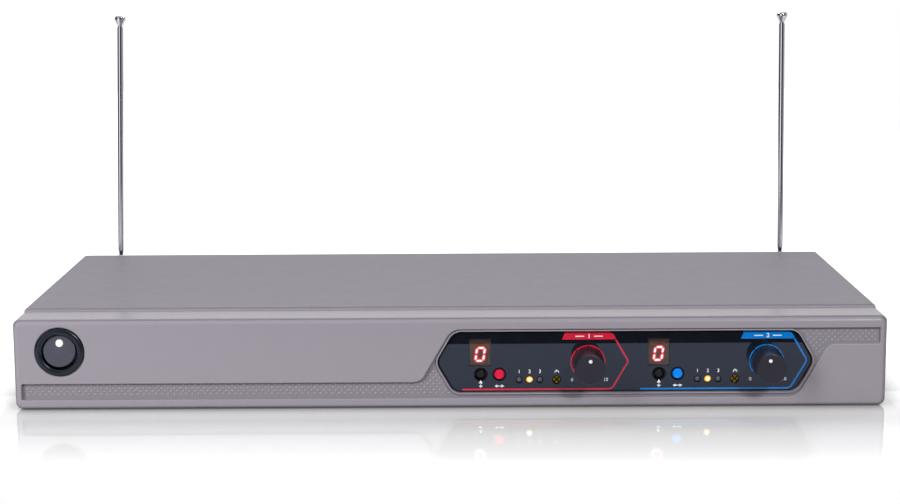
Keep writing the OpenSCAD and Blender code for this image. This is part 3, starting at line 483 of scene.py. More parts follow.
def cad_copy(node, join=0.002 * MM):
    """A copy of a CAD node's mesh with its triangles joined and its flat faces made whole."""
    mesh = bmesh.new()
    mesh.from_mesh(NODES[node].data)
    bmesh.ops.remove_doubles(mesh, verts=mesh.verts, dist=join)
    bmesh.ops.dissolve_limit(
        mesh, angle_limit=math.radians(FLAT_ANGLE), use_dissolve_boundaries=False,
        verts=mesh.verts, edges=mesh.edges, delimit=set(),
    )
    return mesh


def sharp_edges(mesh, where=None, angle=40.0):
    """The edges that turn by more than an angle and whose two ends pass a test."""
    limit = math.radians(angle)
    return [
        edge for edge in mesh.edges
        if len(edge.link_faces) == 2 and edge.calc_face_angle(0.0) > limit
        and (where is None or all(where(vert.co) for vert in edge.verts))
    ]


def round_edges(mesh, edges, width, segments=3, clamp=True):
    """Rounds edges with a bevel."""
    if not edges:
        raise RuntimeError("no edge to round")
    bmesh.ops.bevel(
        mesh, geom=edges, offset=width, offset_type="OFFSET", affect="EDGES", segments=segments,
        profile=0.5, material=-1, clamp_overlap=clamp,
    )


def near(value, target, tolerance=0.02 * MM):
    """Whether two lengths agree."""
    return abs(value - target) < tolerance


def add_piece(name, mesh, materials, body, stands_for=(), smooth=35.0):
    """Makes a piece of a mesh, with its finish, its body and the CAD nodes that it stands for."""
    for face in mesh.faces:
        face.smooth = True
    for edge in mesh.edges:
        edge.smooth = edge.calc_face_angle(0.0) <= math.radians(smooth)
    data = bpy.data.meshes.new(name)
    mesh.to_mesh(data)
    mesh.free()
    for material in materials:
        data.materials.append(material)
    piece = bpy.data.objects.new(name, data)
    bpy.context.scene.collection.objects.link(piece)
    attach(piece, body)
    if stands_for:
        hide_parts(*stands_for)
    level = piece.modifiers.new("face_weight", "WEIGHTED_NORMAL")
    level.mode = "FACE_AREA"
    level.weight = 50
    level.keep_sharp = True
    return piece


def dress(node, name, material, width, segments=2, where=None, angle=40.0):
    """A copy of a CAD node with softened edges, in place of the node."""
    mesh = cad_copy(node)
    round_edges(mesh, sharp_edges(mesh, where, angle), width, segments)
    return add_piece(name, mesh, [material], node_body(node), [node])


def paint(material, *nodes):
    """Gives CAD nodes a finish."""
    for node in nodes:
        slots = NODES[node].data.materials
        slots.clear()
        slots.append(material)


def turned(mesh, profile, centre, turn=None, steps=64):
    """Adds a form turned about Y from points (radius, along), at centre and tilted by turn."""
    start = [mesh.verts.new((radius, along, 0.0)) for radius, along in profile]
    edges = [mesh.edges.new(pair) for pair in zip(start, start[1:])]
    bmesh.ops.spin(
        mesh, geom=start + edges, cent=(0.0, 0.0, 0.0), axis=(0.0, 1.0, 0.0), dvec=(0.0, 0.0, 0.0),
        angle=math.tau, steps=steps, use_merge=True, use_duplicate=False,
    )
    new = set(start)
    reach = list(start)
    while reach:
        for edge in reach.pop().link_edges:
            for vert in edge.verts:
                if vert not in new:
                    new.add(vert)
                    reach.append(vert)
    verts = list(new)
    bmesh.ops.remove_doubles(mesh, verts=verts, dist=TURNED_JOIN)
    verts = [vert for vert in verts if vert.is_valid]
    faces = list({face for vert in verts for face in vert.link_faces})
    bmesh.ops.recalc_face_normals(mesh, faces=faces)
    matrix = Matrix.Translation(centre) @ (turn or Matrix.Identity(4))
    bmesh.ops.transform(mesh, matrix=matrix, verts=verts)


def fillet(points, radius, steps=6):
    """A path with round corners at its inner points."""
    path = [points[0]]
    for before, corner, after in zip(points, points[1:], points[2:]):
        to_before = (before - corner).normalized()
        to_after = (after - corner).normalized()
        half = to_before.angle(to_after) / 2
        centre = corner + (to_before + to_after).normalized() * radius / math.sin(half)
        start = corner + to_before * radius / math.tan(half) - centre
        end = corner + to_after * radius / math.tan(half) - centre
        path += [centre + start.slerp(end, step / steps) * radius for step in range(steps + 1)]
    return path + [points[-1]]


def stroke(mesh, path, width):
    """A flat line of even width along a path in the XY plane, mitred at its bends."""
    edge = None
    for index, point in enumerate(path):
        arriving = (point - path[index - 1]).normalized() if index else None
        leaving = (path[index + 1] - point).normalized() if index + 1 < len(path) else None
        along = ((arriving or leaving) + (leaving or arriving)).normalized()
        share = along.dot(arriving or leaving)
        across = Vector((-along.y, along.x)) * width / 2 / share
        ends = [(point + across).to_3d(), (point - across).to_3d()]
        if edge is None:
            edge = mesh.edges.new([mesh.verts.new(end) for end in ends])
            last = edge.verts[:]
            continue
        made = bmesh.ops.extrude_edge_only(mesh, edges=[edge])["geom"]
        edge = next(item for item in made if isinstance(item, bmesh.types.BMEdge))
        left, right = (vert.co for vert in last)
        last = sorted(edge.verts, key=lambda vert: (vert.co - left).length > (vert.co - right).length)
        for vert, end in zip(last, ends):
            vert.co = end


def filled(mesh, points):
    """A flat face on points in the XY plane."""
    return mesh.faces.new([mesh.verts.new(Vector(point).to_3d()) for point in points])


def arc_band(mesh, centre, radius, width, start, end):
    """A flat curved band about a centre in the XY plane, between two angles in degrees from straight up."""
    direction = Vector((math.sin(math.radians(start)), math.cos(math.radians(start)), 0.0))
    middle = Vector(centre).to_3d()
    edge = mesh.edges.new([
        mesh.verts.new(middle + direction * (radius - width / 2)),
        mesh.verts.new(middle + direction * (radius + width / 2)),
    ])
    bmesh.ops.spin(
        mesh, geom=[edge], cent=middle, axis=(0.0, 0.0, -1.0), dvec=(0.0, 0.0, 0.0),
        angle=math.radians(end - start), steps=max(3, round(abs(end - start) / 5)), use_duplicate=False,
    )


def lettered(mesh, words, centre, height):
    """Flat plain numerals centred on a point in the XY plane."""
    curve = bpy.data.curves.new("numeral", "FONT")
    curve.body = words
    curve.align_x = "CENTER"
    curve.align_y = "CENTER"
    curve.size = height * FONT_SIZE
    curve.offset = height * FONT_WEIGHT
    holder = bpy.data.objects.new("numeral", curve)
    bpy.context.scene.collection.objects.link(holder)
    graph = bpy.context.evaluated_depsgraph_get()
    flat = bpy.data.meshes.new_from_object(holder.evaluated_get(graph))
    flat.transform(Matrix.Translation((centre[0], centre[1], 0.0)))
    mesh.from_mesh(flat)
    bpy.data.objects.remove(holder)
    bpy.data.curves.remove(curve)
    bpy.data.meshes.remove(flat)


def raise_print(mesh, plane_y, thickness, facing=-1.0):
    """Gives a flat drawing its thickness and stands it on a plane that faces -Y, or +Y."""
    sunk = 0.01 * MM
    made = bmesh.ops.extrude_face_region(mesh, geom=mesh.faces[:])["geom"]
    top = [item for item in made if isinstance(item, bmesh.types.BMVert)]
    bmesh.ops.translate(mesh, verts=top, vec=(0.0, 0.0, thickness + sunk))
    bmesh.ops.recalc_face_normals(mesh, faces=mesh.faces[:])
    turn = Matrix.Rotation(math.pi / 2, 4, "X")
    if facing > 0:
        turn = Matrix.Rotation(math.pi, 4, "Z") @ turn
    place = Matrix.Translation((0.0, plane_y - facing * sunk, 0.0))
    bmesh.ops.transform(mesh, matrix=place @ turn, verts=mesh.verts)


# Pieces

class RECEIVER_OT_front(bpy.types.Operator):
    """Rounds the moulded front's recess and sets the dots in its band"""

    bl_idname = "receiver.front"
    bl_label = "Moulded front"

    def execute(self, context):
        plastic = grained(
            "moulded_grey", finish().front, (0.22, 0.26),
            scale=3000.0, depth=0.001 * MM, tone=0.01, specular=0.3,
        )
        # The band floor's darker colour is painted shade of the recess; its roughness and bump are its own
        # texture
        matt = grained(
            "band_floor_shaded_grey", finish().band, (0.5, 0.6), scale=3000.0, depth=0.004 * MM, tone=0.02
        )
        mesh = cad_copy("front_bezel")
        front_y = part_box("front_bezel")[0].y
        face_edges = sharp_edges(mesh, lambda co: near(co.y, front_y))
        round_edges(mesh, face_edges, sizes().recess_edge, clamp=False)
        rim_y = self.rim_front(mesh, front_y)
        rim_edges = sharp_edges(mesh, lambda co: near(co.y, rim_y))
        round_edges(mesh, rim_edges, sizes().rim_edge, 2, clamp=False)
        floor_y = self.floor_depth(mesh)
        for face in mesh.faces:
            if near(face.calc_center_median().y, floor_y) and face.normal.y < -0.99:
                face.material_index = 1
        add_piece("front_shell", mesh, [plastic, matt], "case", ["front_bezel"])
        self.dots(plastic)
        return {"FINISHED"}

    def floor_depth(self, mesh):
        """How far back the floor of the recessed band lies, found near the band's left end."""
        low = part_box("front_bezel")[0]
        start = Vector((low.x + 12 * MM, low.y - RAY_START, low.z + 8 * MM))
        return BVHTree.FromBMesh(mesh).ray_cast(start, FORWARD)[0].y

    def rim_front(self, mesh, front_y):
        """The front of the rim: the first flat face behind the main one, over the panel's top edge."""
        low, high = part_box("control_panel")
        start = Vector(((low.x + high.x) / 2, front_y - RAY_START, high.z + 0.3 * MM))
        return BVHTree.FromBMesh(mesh).ray_cast(start, FORWARD)[0].y

    def dots(self, plastic):
        """Raised dots on the floor of the recessed band, in staggered rows."""
        low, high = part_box("front_bezel")
        surface = cad_copy("front_bezel")
        tree = BVHTree.FromBMesh(surface)
        floor_y = self.floor_depth(surface)
        surface.free()
        pitch = sizes().dot_pitch
        radius = sizes().dot_radius
        height = sizes().dot_height
        first_row = 0.62
        taper = 0.55
        clear = radius + 0.45 * MM
        around = [(0, 0), (clear, 0), (-clear, 0), (0, clear), (0, -clear)]
        mesh = bmesh.new()
        stand = Matrix.Rotation(math.pi / 2, 4, "X")
        rows = int((high.z - low.z) / (pitch / 2))
        columns = int((high.x - low.x) / pitch)
        for row in range(rows):
            z = low.z + (row + first_row) * pitch / 2
            for column in range(columns):
                x = low.x + (column + (row % 2) / 2) * pitch
                starts = [Vector((x + dx, low.y - RAY_START, z + dz)) for dx, dz in around]
                hits = [tree.ray_cast(start, FORWARD)[0] for start in starts]
                if all(hit and near(hit.y, floor_y) for hit in hits):
                    place = Matrix.Translation((x, floor_y - height / 2, z))
                    bmesh.ops.create_cone(
                        mesh, cap_ends=True, segments=10, radius1=radius, radius2=radius * taper,
                        depth=height, matrix=place @ stand,
                    )
        add_piece("band_dots", mesh, [plastic], "case", smooth=80.0)


class RECEIVER_OT_case(bpy.types.Operator):
    """Paints the steel case, its rear, feet and screws"""

    bl_idname = "receiver.case"
    bl_label = "Steel case"

    def execute(self, context):
        coat = grained(
            "powder_coat_grey", finish().cover, (0.5, 0.54), scale=2400.0, depth=0.004 * MM, tone=0.012
        )
        rear = grained(
            "powder_coat_black", finish().rear, (0.5, 0.62), scale=1400.0, depth=0.04 * MM, tone=0.1
        )
        rubber = grained(
            "foot_rubber", (0.016, 0.016, 0.017), (0.75, 0.9), scale=900.0, depth=0.05 * MM, tone=0.15
        )
        oxide = metal("black_oxide", (0.09, 0.09, 0.095), (0.32, 0.5))
        dress("top_cover", "cover_shell", coat, sizes().cover_edge)
        paint(coat, "base_pan")
        dress("rear_panel", "rear_plate", rear, 0.2 * MM)
        dress("rubber_feet", "foot_pads", rubber, 0.5 * MM, 3)
        dress("case_screws", "case_screw_heads", oxide, 0.08 * MM, 1)
        return {"FINISHED"}


class RECEIVER_OT_panel(bpy.types.Operator):
    """Chamfers the glossy control panel and prints its lines, scales and signs"""

    bl_idname = "receiver.panel"
    bl_label = "Control panel"

    def execute(self, context):
        gloss = grained(
            "panel_black", finish().panel, (0.008, 0.015), scale=900.0, depth=0.0, tone=0.2, specular=0.74,
            tint=(0.6, 0.72, 1.0),
        )
        mesh = cad_copy("control_panel")
        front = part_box("control_panel")[0].y
        edges = sharp_edges(mesh, lambda co: near(co.y, front))
        outline = [edge for edge in edges if self.on_outline(mesh, edge)]
        round_edges(mesh, outline, sizes().panel_edge, 1, clamp=False)
        holes = sharp_edges(mesh, lambda co: near(co.y, front), 60.0)
        round_edges(mesh, holes, 0.3 * MM, 2, clamp=False)
        add_piece("panel_face", mesh, [gloss], "case", ["control_panel"])
        inks = {
            1: grained("ink_red", finish().red, (0.08, 0.14), scale=2000.0, depth=0.0, tone=0.04),
            2: grained("ink_blue", finish().blue, (0.08, 0.14), scale=2000.0, depth=0.0, tone=0.04),
        }
        white = grained("ink_white", finish().white, (0.15, 0.25), scale=2000.0, depth=0.0, tone=0.02)
        signs = bmesh.new()
        for channel in CHANNELS:
            self.lines(channel, inks[channel], front)
            self.signs(channel, signs)
        raise_print(signs, front, sizes().print_height * 2)
        add_piece("panel_signs", signs, [white], "case", smooth=20.0)
        return {"FINISHED"}

    def on_outline(self, mesh, edge):
        """Whether an edge is on the panel's outline, so that the whole panel lies on one side of it."""
        slack = 0.02 * MM
        along = (edge.verts[1].co - edge.verts[0].co).normalized()
        across = Vector((-along.z, 0.0, along.x))
        reach = [across.dot(vert.co - edge.verts[0].co) for vert in mesh.verts]
        return max(reach) < slack or min(reach) > -slack

    def origin(self, channel):
        """The knob's axis in the panel's plane, from which the printing is placed."""
        place = axis_point(f"volume_{channel}_turn")
        return Vector((place.x, place.z))

    def lines(self, channel, ink, front):
        """A channel's coloured line, its numbered tab and the scale round its knob."""
        knob = self.origin(channel)
        low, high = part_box("control_panel")
        middle = (low.z + high.z) / 2
        line_z = low.z + LINE_RISE
        tab_low = high.z - TAB_FOOT
        tab_high = high.z - sizes().panel_edge - TAB_HEAD
        tip_x = knob.x + LINE_TIP
        slope = math.tan(LINE_SLOPE)
        width = sizes().line_width
        start = Vector((knob.x + LINE_START, line_z))
        turn = Vector((tip_x - (middle - line_z) / slope, line_z))
        tip = Vector((tip_x, middle))
        top = Vector((tip_x - (tab_low + width / 2 - middle) / slope, tab_low + width / 2))
        mesh = bmesh.new()
        path = fillet([start, turn, tip], LINE_BEND)[:-1] + fillet([turn, tip, top], LINE_TIP_BEND)[1:]
        stroke(mesh, path, width)
        edge_x = tip_x + width / 2 / math.sin(LINE_SLOPE)
        corner = Vector((edge_x - (tab_high - middle) / slope, tab_high))
        right = Vector((edge_x - (tab_low - middle) / slope, tab_low))
        tab = [Vector((knob.x + TAB_LEFT[0], tab_low))]
        tab += fillet([right, corner, Vector((knob.x + TAB_LEFT[1], tab_high))], TAB_BEND)
        filled(mesh, tab)
        for start_angle, end_angle in SCALE_PARTS:
            arc_band(mesh, knob, sizes().arc_radius, sizes().arc_width, start_angle, end_angle)
        raise_print(mesh, front, sizes().print_height)
        self.tab_edge(mesh, tab[0].x + 1.0 * MM, corner.x - 1.2 * MM, front, high.z)
        add_piece(f"channel_line_{channel}", mesh, [ink], "case", smooth=20.0)

    def tab_edge(self, mesh, left, right, front, top):
        """The tab's colour carried over the panel's upper chamfer."""
        chamfer = sizes().panel_edge
        lift = sizes().print_height
        low, high = (0.06 * MM, chamfer - 0.12 * MM)
        foot = top - chamfer
        corners = [
            (left, front + low, foot + low), (right, front + low, foot + low),
            (right, front + high, foot + high), (left, front + high, foot + high),
        ]
        face = mesh.faces.new([mesh.verts.new(corner) for corner in corners])
        made = bmesh.ops.extrude_face_region(mesh, geom=[face])["geom"]
        verts = [item for item in made if isinstance(item, bmesh.types.BMVert)]
        bmesh.ops.translate(mesh, verts=verts, vec=(0.0, -lift, lift))
        bmesh.ops.recalc_face_normals(mesh, faces=mesh.faces[:])

    def signs(self, channel, mesh):
        """Plain numerals and simple signs in white."""
        knob = self.origin(channel)
        low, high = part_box("control_panel")
        small = sizes().numeral
        tab = knob + Vector((TAB_MIDDLE, 0.0))
        tab.y = high.z - TAB_SIGN_DROP
        lettered(mesh, str(channel), tab, TAB_NUMERAL)
        for side in (-1, 1):
            stroke(mesh, [tab + Vector((side * reach * MM, 0.0)) for reach in (2.4, 6.6)], 0.45 * MM)
        for number, offset in DIAL_ENDS:
            lettered(mesh, number, (knob.x + offset, low.z + DIAL_RISE), small)
        sign_z = low.z + SIGN_RISE
        for number, offset in LAMP_NUMBERS:
            lettered(mesh, number, (knob.x + offset, sign_z), small)
        line = 0.3 * MM
        dial = Vector((axis_point(f"squelch_{channel}_turn").x, sign_z - 0.25 * MM))
        arc_band(mesh, dial, 0.85 * MM, line, -120, 120)
        stroke(mesh, [dial, dial + Vector((0.0, 1.1 * MM))], line)
        self.button_signs(channel, mesh, low.z + BUTTON_SIGN_RISE)

    def button_signs(self, channel, mesh, z):
        """An arrow head and a cross under the channel button, and a double arrow under the sync button."""
        line = 0.38 * MM
        arm = 0.85 * MM
        low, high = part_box(f"channel_button_{channel}")
        x = (low.x + high.x) / 2
        filled(mesh, [(x - 0.95 * MM, z + 1.35 * MM), (x + 0.95 * MM, z + 1.35 * MM), (x, z + 3.0 * MM)])
        stroke(mesh, [Vector((x - arm, z)), Vector((x + arm, z))], line)
        for side in (-1, 1):
            stroke(mesh, [Vector((x, z + side * line / 2)), Vector((x, z + side * arm))], line)
        shaft = 1.0 * MM
        low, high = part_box(f"sync_button_{channel}")
        x = (low.x + high.x) / 2
        for side in (-1, 1):
            base = x + side * shaft
            tip = x + side * 2.3 * MM
            filled(mesh, [(base, z - 0.75 * MM), (base, z + 0.75 * MM), (tip, z)])
        stroke(mesh, [Vector((x - shaft, z)), Vector((x + shaft, z))], line)


class RECEIVER_OT_displays(bpy.types.Operator):
    """Lights the digits behind smoked windows"""

    bl_idname = "receiver.displays"
    bl_label = "Displays"

    def execute(self, context):
        window = smoked("smoked_window", finish().smoke)
        body = grained("display_body", (0.3, 0.235, 0.2), (0.5, 0.6), scale=1500.0, tone=0.06)
        edge = glowing("digit_edge", finish().digit, 2.6)
        halo = glowing("digit_halo", finish().digit, 1.7)
        core = glowing("digit_core", (0.95, 0.9, 1.0), 4.2)
        for channel in CHANNELS:
            paint(window, f"display_window_{channel}")
            paint(body, f"display_module_{channel}")
        mesh = cad_copy("digit_segments")
        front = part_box("digit_segments")[0].y
        faces = [face for face in mesh.faces if near(face.calc_center_median().y, front)]
        self.halo(faces, halo)
        bmesh.ops.inset_individual(mesh, faces=faces, thickness=0.21 * MM, use_even_offset=True)
        for face in faces:
            face.material_index = 1
        add_piece("lit_digits", mesh, [edge, core], "case", ["digit_segments"])
        return {"FINISHED"}

    def halo(self, faces, material):
        """A red plate behind each lit bar's face, a little wider than the bar and at a depth of its own."""
        step = 0.03 * MM
        thickness = 0.02 * MM
        reach = 0.26 * MM
        bars = len(faces) // len(CHANNELS)
        mesh = bmesh.new()
        for index, face in enumerate(sorted(faces, key=lambda face: face.calc_center_median().x)):
            back = FORWARD * step * (1 + index % bars)
            mesh.faces.new([mesh.verts.new(corner + back) for corner in self.widened(face, reach)])
        made = bmesh.ops.extrude_face_region(mesh, geom=mesh.faces[:])["geom"]
        rear = [item for item in made if isinstance(item, bmesh.types.BMVert)]
        bmesh.ops.translate(mesh, verts=rear, vec=(0.0, thickness, 0.0))
        bmesh.ops.recalc_face_normals(mesh, faces=mesh.faces[:])
        add_piece("digit_glow", mesh, [material], "case")

    def widened(self, face, reach):
        """A flat face's corners, moved outwards so that its sides go out by an even distance."""
        corners = [vert.co for vert in face.verts]
        moved = []
        for before, corner, after in zip(corners[-1:] + corners, corners, corners[1:] + corners[:1]):
            arriving = (corner - before).normalized().cross(face.normal)
            leaving = (after - corner).normalized().cross(face.normal)
            moved.append(corner + (arriving + leaving) * reach / (1.0 + arriving.dot(leaving)))
        return moved


class RECEIVER_OT_knobs(bpy.types.Operator):
    """Turns the two volume knobs and sets their white pointers"""

    bl_idname = "receiver.knobs"
    bl_label = "Volume knobs"

    def execute(self, context):
        side = grained("knob_side", finish().knob, (0.28, 0.36), scale=1600.0, tone=0.08)
        face = grained("knob_face", finish().knob, (0.5, 0.6), scale=2200.0, tone=0.08, specular=0.35)
        dot = grained("pointer_white", finish().white, (0.3, 0.4), scale=2000.0, depth=0.0, tone=0.02)
        shaft = metal("turned_steel", (0.6, 0.6, 0.58), (0.2, 0.35), ALONG_Y)
        for channel in CHANNELS:
            paint(shaft, f"pot_shaft_{channel}")
            self.knob(channel, side, face)
            self.pointer(channel, dot)
        return {"FINISHED"}

    def knob(self, channel, side, face):
        """A knob's turned cap with a soft rim round its face and a socket for the shaft."""
        node = f"volume_knob_{channel}"
        low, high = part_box(node)
        axis = axis_point(f"volume_{channel}_turn")
        back_r = (high.x - low.x) / 2
        face_r = back_r - 0.6 * MM
        edge = 0.45 * MM
        socket_r = 3.05 * MM
        socket_y = high.y - 12.0 * MM
        face_y = low.y + sizes().pointer_height
        steps = 4
        profile = [(0.0, face_y), (face_r - edge, face_y)]
        for step in range(1, steps + 1):
            turn = math.pi / 2 * step / steps
            profile.append((face_r - edge + edge * math.sin(turn), face_y + edge - edge * math.cos(turn)))
        profile += [(back_r - 0.12 * MM, high.y - 0.3 * MM), (back_r - 0.2 * MM, high.y)]
        profile += [(socket_r, high.y), (socket_r, socket_y), (0.0, socket_y)]
        mesh = bmesh.new()
        turned(mesh, profile, (axis.x, 0.0, axis.z), steps=96)
        for item in mesh.faces:
            item.material_index = 1 if near(item.calc_center_median().y, face_y) else 0
        add_piece(f"knob_cap_{channel}", mesh, [side, face], node_body(node), [node])

    def pointer(self, channel, dot):
        """The white dot near the knob's rim."""
        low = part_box(f"volume_knob_{channel}")[0]
        axis = axis_point(f"volume_{channel}_turn")
        radius = 0.85 * MM
        rise = sizes().pointer_height
        reach = 4.1 * MM
        turn = math.radians(0.0 if channel == 1 else -13.0)
        mesh = bmesh.new()
        profile = [(0.0, 0.0), (radius * 0.8, 0.0), (radius, rise * 0.6), (radius, rise * 2), (0.0, rise * 2)]
        place = Vector((axis.x + reach * math.sin(turn), low.y, axis.z + reach * math.cos(turn)))
        turned(mesh, profile, place, steps=32)
        add_piece(f"knob_pointer_{channel}", mesh, [dot], f"knob_{channel}")


class RECEIVER_OT_buttons(bpy.types.Operator):
    """Caps the channel and sync buttons"""

    bl_idname = "receiver.buttons"
    bl_label = "Push buttons"

    def execute(self, context):
        black = grained(
            "button_black", (0.006, 0.006, 0.008), (0.14, 0.2), scale=1500.0, depth=0.0, specular=0.25
        )
        # Near-black matt finish for the painted shade ring round each button's hole
        shade = grained(
            "hole_shade_black", (0.002, 0.002, 0.003), (0.6, 0.7), scale=2000.0, depth=0.0, specular=0.1
        )
        colours = {1: ("button_red", (0.74, 0.012, 0.06)), 2: ("button_blue", (0.0, 0.26, 0.95))}
        groove = 0.1 * MM
        ring = ((0.35 * MM, 0.0), (0.15 * MM, groove), (0.15 * MM, -groove))
        for channel in CHANNELS:
            slot, base = colours[channel]
            sync = grained(slot, base, (0.3, 0.4), scale=2000.0, tone=0.05, specular=0.25)
            dark = f"channel_button_{channel}"
            bright = f"sync_button_{channel}"
            self.cap(dark, f"channel_cap_{channel}", black, "button_black", 1.1 * MM, ())
            self.cap(bright, f"sync_cap_{channel}", sync, slot, 0.4 * MM, ring)
            # Painted shade: a dark ring round each hole stands for the shadowed gap between button and panel
            self.collar(dark, f"channel_hole_shade_{channel}", shade)
            self.collar(bright, f"sync_hole_shade_{channel}", shade)
        return {"FINISHED"}

    def collar(self, node, name, material):
        """A thin matt black ring on the panel round a button's hole: painted shade that stands for the
        shadowed gap round the button.
        """
        low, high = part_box(node)
        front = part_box("control_panel")[0].y
        inner = 2.9 * MM
        outer = 3.35 * MM
        rise = sizes().print_height
        profile = [(inner, front + rise), (inner, front - rise), (outer, front - rise), (outer, front + rise)]
        mesh = bmesh.new()
        turned(mesh, profile + profile[:1], ((low.x + high.x) / 2, 0.0, (low.z + high.z) / 2), steps=48)
        add_piece(name, mesh, [material], "case")

    def cap(self, node, name, material, slot, edge, ring):
        """A button with a rounded front edge, and with a shallow ring in its face where one is given."""
        mesh = cad_copy(node)
        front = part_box(node)[0].y
        round_edges(mesh, sharp_edges(mesh, lambda co: near(co.y, front)), edge, 4)
        faces = [face for face in mesh.faces if near(face.calc_center_median().y, front)]
        for inset, sink in ring:
            bmesh.ops.inset_region(mesh, faces=faces, thickness=inset, depth=-sink, use_even_offset=True)
        add_piece(name, mesh, [material], node_body(node), [node])


class RECEIVER_OT_lamps(bpy.types.Operator):
    """Lights one lamp of each channel and leaves the others grey"""

    bl_idname = "receiver.lamps"
    bl_label = "Indicator lamps"

    def execute(self, context):
        rim = glowing("lamp_rim", finish().amber, 1.2)
        core = glowing("lamp_core", (1.0, 0.92, 0.7), 2.2)
        grey = grained("lamp_grey", (0.085, 0.085, 0.1), (0.5, 0.6), scale=1200.0, depth=0.0, tone=0.08)
        mesh = cad_copy("lit_lamps")
        core_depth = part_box("lit_lamps")[0].y + 0.2 * MM
        for face in mesh.faces:
            face.material_index = 1 if face.calc_center_median().y < core_depth else 0
        add_piece("lit_lenses", mesh, [rim, core], "case", ["lit_lamps"])
        add_piece("unlit_lenses", cad_copy("unlit_lamps"), [grey], "case", ["unlit_lamps"])
        return {"FINISHED"}


class RECEIVER_OT_switch(bpy.types.Operator):
    """Rounds the power switch's ring and rocker and sets its white mark"""

    bl_idname = "receiver.switch"
    bl_label = "Power switch"

    def execute(self, context):
        ring = grained(
            "switch_black", (0.007, 0.008, 0.012), (0.22, 0.3), scale=1500.0, depth=0.0, tone=0.1,
            tint=(0.7, 0.8, 1.0),
        )
        face = grained(
            "rocker_charcoal", finish().rocker, (0.4, 0.5), scale=2400.0, depth=0.03 * MM, tone=0.1
        )
        mark = grained("mark_white", finish().white, (0.3, 0.4), scale=2000.0, depth=0.0, tone=0.02)
        brass = metal("terminal_brass", (0.6, 0.45, 0.16), (0.25, 0.4))
        self.housing(ring)
        dress("power_rocker", "rocker_cap", face, 0.45 * MM, 3, self.on_disc)
        paint(brass, "switch_terminals")
        self.mark(mark)
        return {"FINISHED"}

    def housing(self, ring):
        """The switch's body with a turned, crowned ring in front."""
        mesh = cad_copy("switch_housing")
        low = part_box("switch_housing")[0]
        pivot = axis_point("power_rocker_tilt")
        front = [vert for vert in mesh.verts if near(vert.co.y, low.y)]
        reach = [math.hypot(vert.co.x - pivot.x, vert.co.z - pivot.z) for vert in front]
        inner, outer = min(reach), max(reach)
        foot = 0.8 * MM
        fall = foot * 0.75
        steps = 16
        bmesh.ops.translate(mesh, verts=front, vec=(0.0, foot, 0.0))
        crown = [(inner, low.y + foot)]
        for step in range(steps + 1):
            across = -math.cos(math.pi * step / steps)
            radius = (inner + outer) / 2 + (outer - inner) / 2 * across
            crown.append((radius, low.y + fall * abs(across) ** 3))
        crown += [(outer, low.y + foot), crown[0]]
        turned(mesh, crown, (pivot.x, 0.0, pivot.z), steps=96)
        add_piece("switch_body", mesh, [ring], "case", ["switch_housing"])

    def tilt(self):
        """The rocker's turn at rest about its pivot."""
        return Matrix.Rotation(math.radians(-JOINTS["power_rocker_tilt"]["range_deg"][1] / 2), 4, "X")

    def on_disc(self, place):
        """Whether a point is on the front edge of the rocker's disc."""
        pivot = axis_point("power_rocker_tilt")
        flat = self.tilt().inverted() @ (place - pivot)
        return near(flat.y, ROCKER_FACE, 0.05 * MM)

    def mark(self, material):
        """The white dot on the rocker's upper half."""
        radius = 1.78 * MM
        rise = 0.06 * MM
        front = ROCKER_FACE - rise
        back = ROCKER_FACE + rise
        mesh = bmesh.new()
        profile = [
            (0.0, front), (radius * 0.85, front), (radius, ROCKER_FACE - rise * 0.3),
            (radius, back), (0.0, back),
        ]
        lift = Matrix.Translation((0.0, 0.0, 3.75 * MM))
        turned(mesh, profile, axis_point("power_rocker_tilt"), self.tilt() @ lift, steps=48)
        add_piece("rocker_mark", mesh, [material], "power_rocker")


class RECEIVER_OT_trimmers(bpy.types.Operator):
    """Finishes the slotted squelch trimmers"""

    bl_idname = "receiver.trimmers"
    bl_label = "Squelch trimmers"

    def execute(self, context):
        brass = metal("trimmer_brass", (0.24, 0.16, 0.022), (0.35, 0.5))
        # Near-black brass for the rotor's faces behind its front: painted shade in the slot
        slot_shade = metal("slot_shade_brass", (0.03, 0.022, 0.006), (0.5, 0.65))
        body = grained("trimmer_blue", (0.02, 0.06, 0.2), (0.4, 0.5), scale=1500.0, tone=0.06)
        paint(body, "trimmer_bodies")
        for channel in CHANNELS:
            node = f"squelch_rotor_{channel}"
            mesh = cad_copy(node)
            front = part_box(node)[0].y
            # Front faces keep the brass; the slot's walls and the other faces get the painted shade
            for face in mesh.faces:
                face.material_index = 0 if near(face.calc_center_median().y, front) else 1
            round_edges(mesh, sharp_edges(mesh, lambda co: near(co.y, front)), 0.06 * MM, 2)
            add_piece(f"trimmer_rotor_{channel}", mesh, [brass, slot_shade], node_body(node), [node])
        return {"FINISHED"}


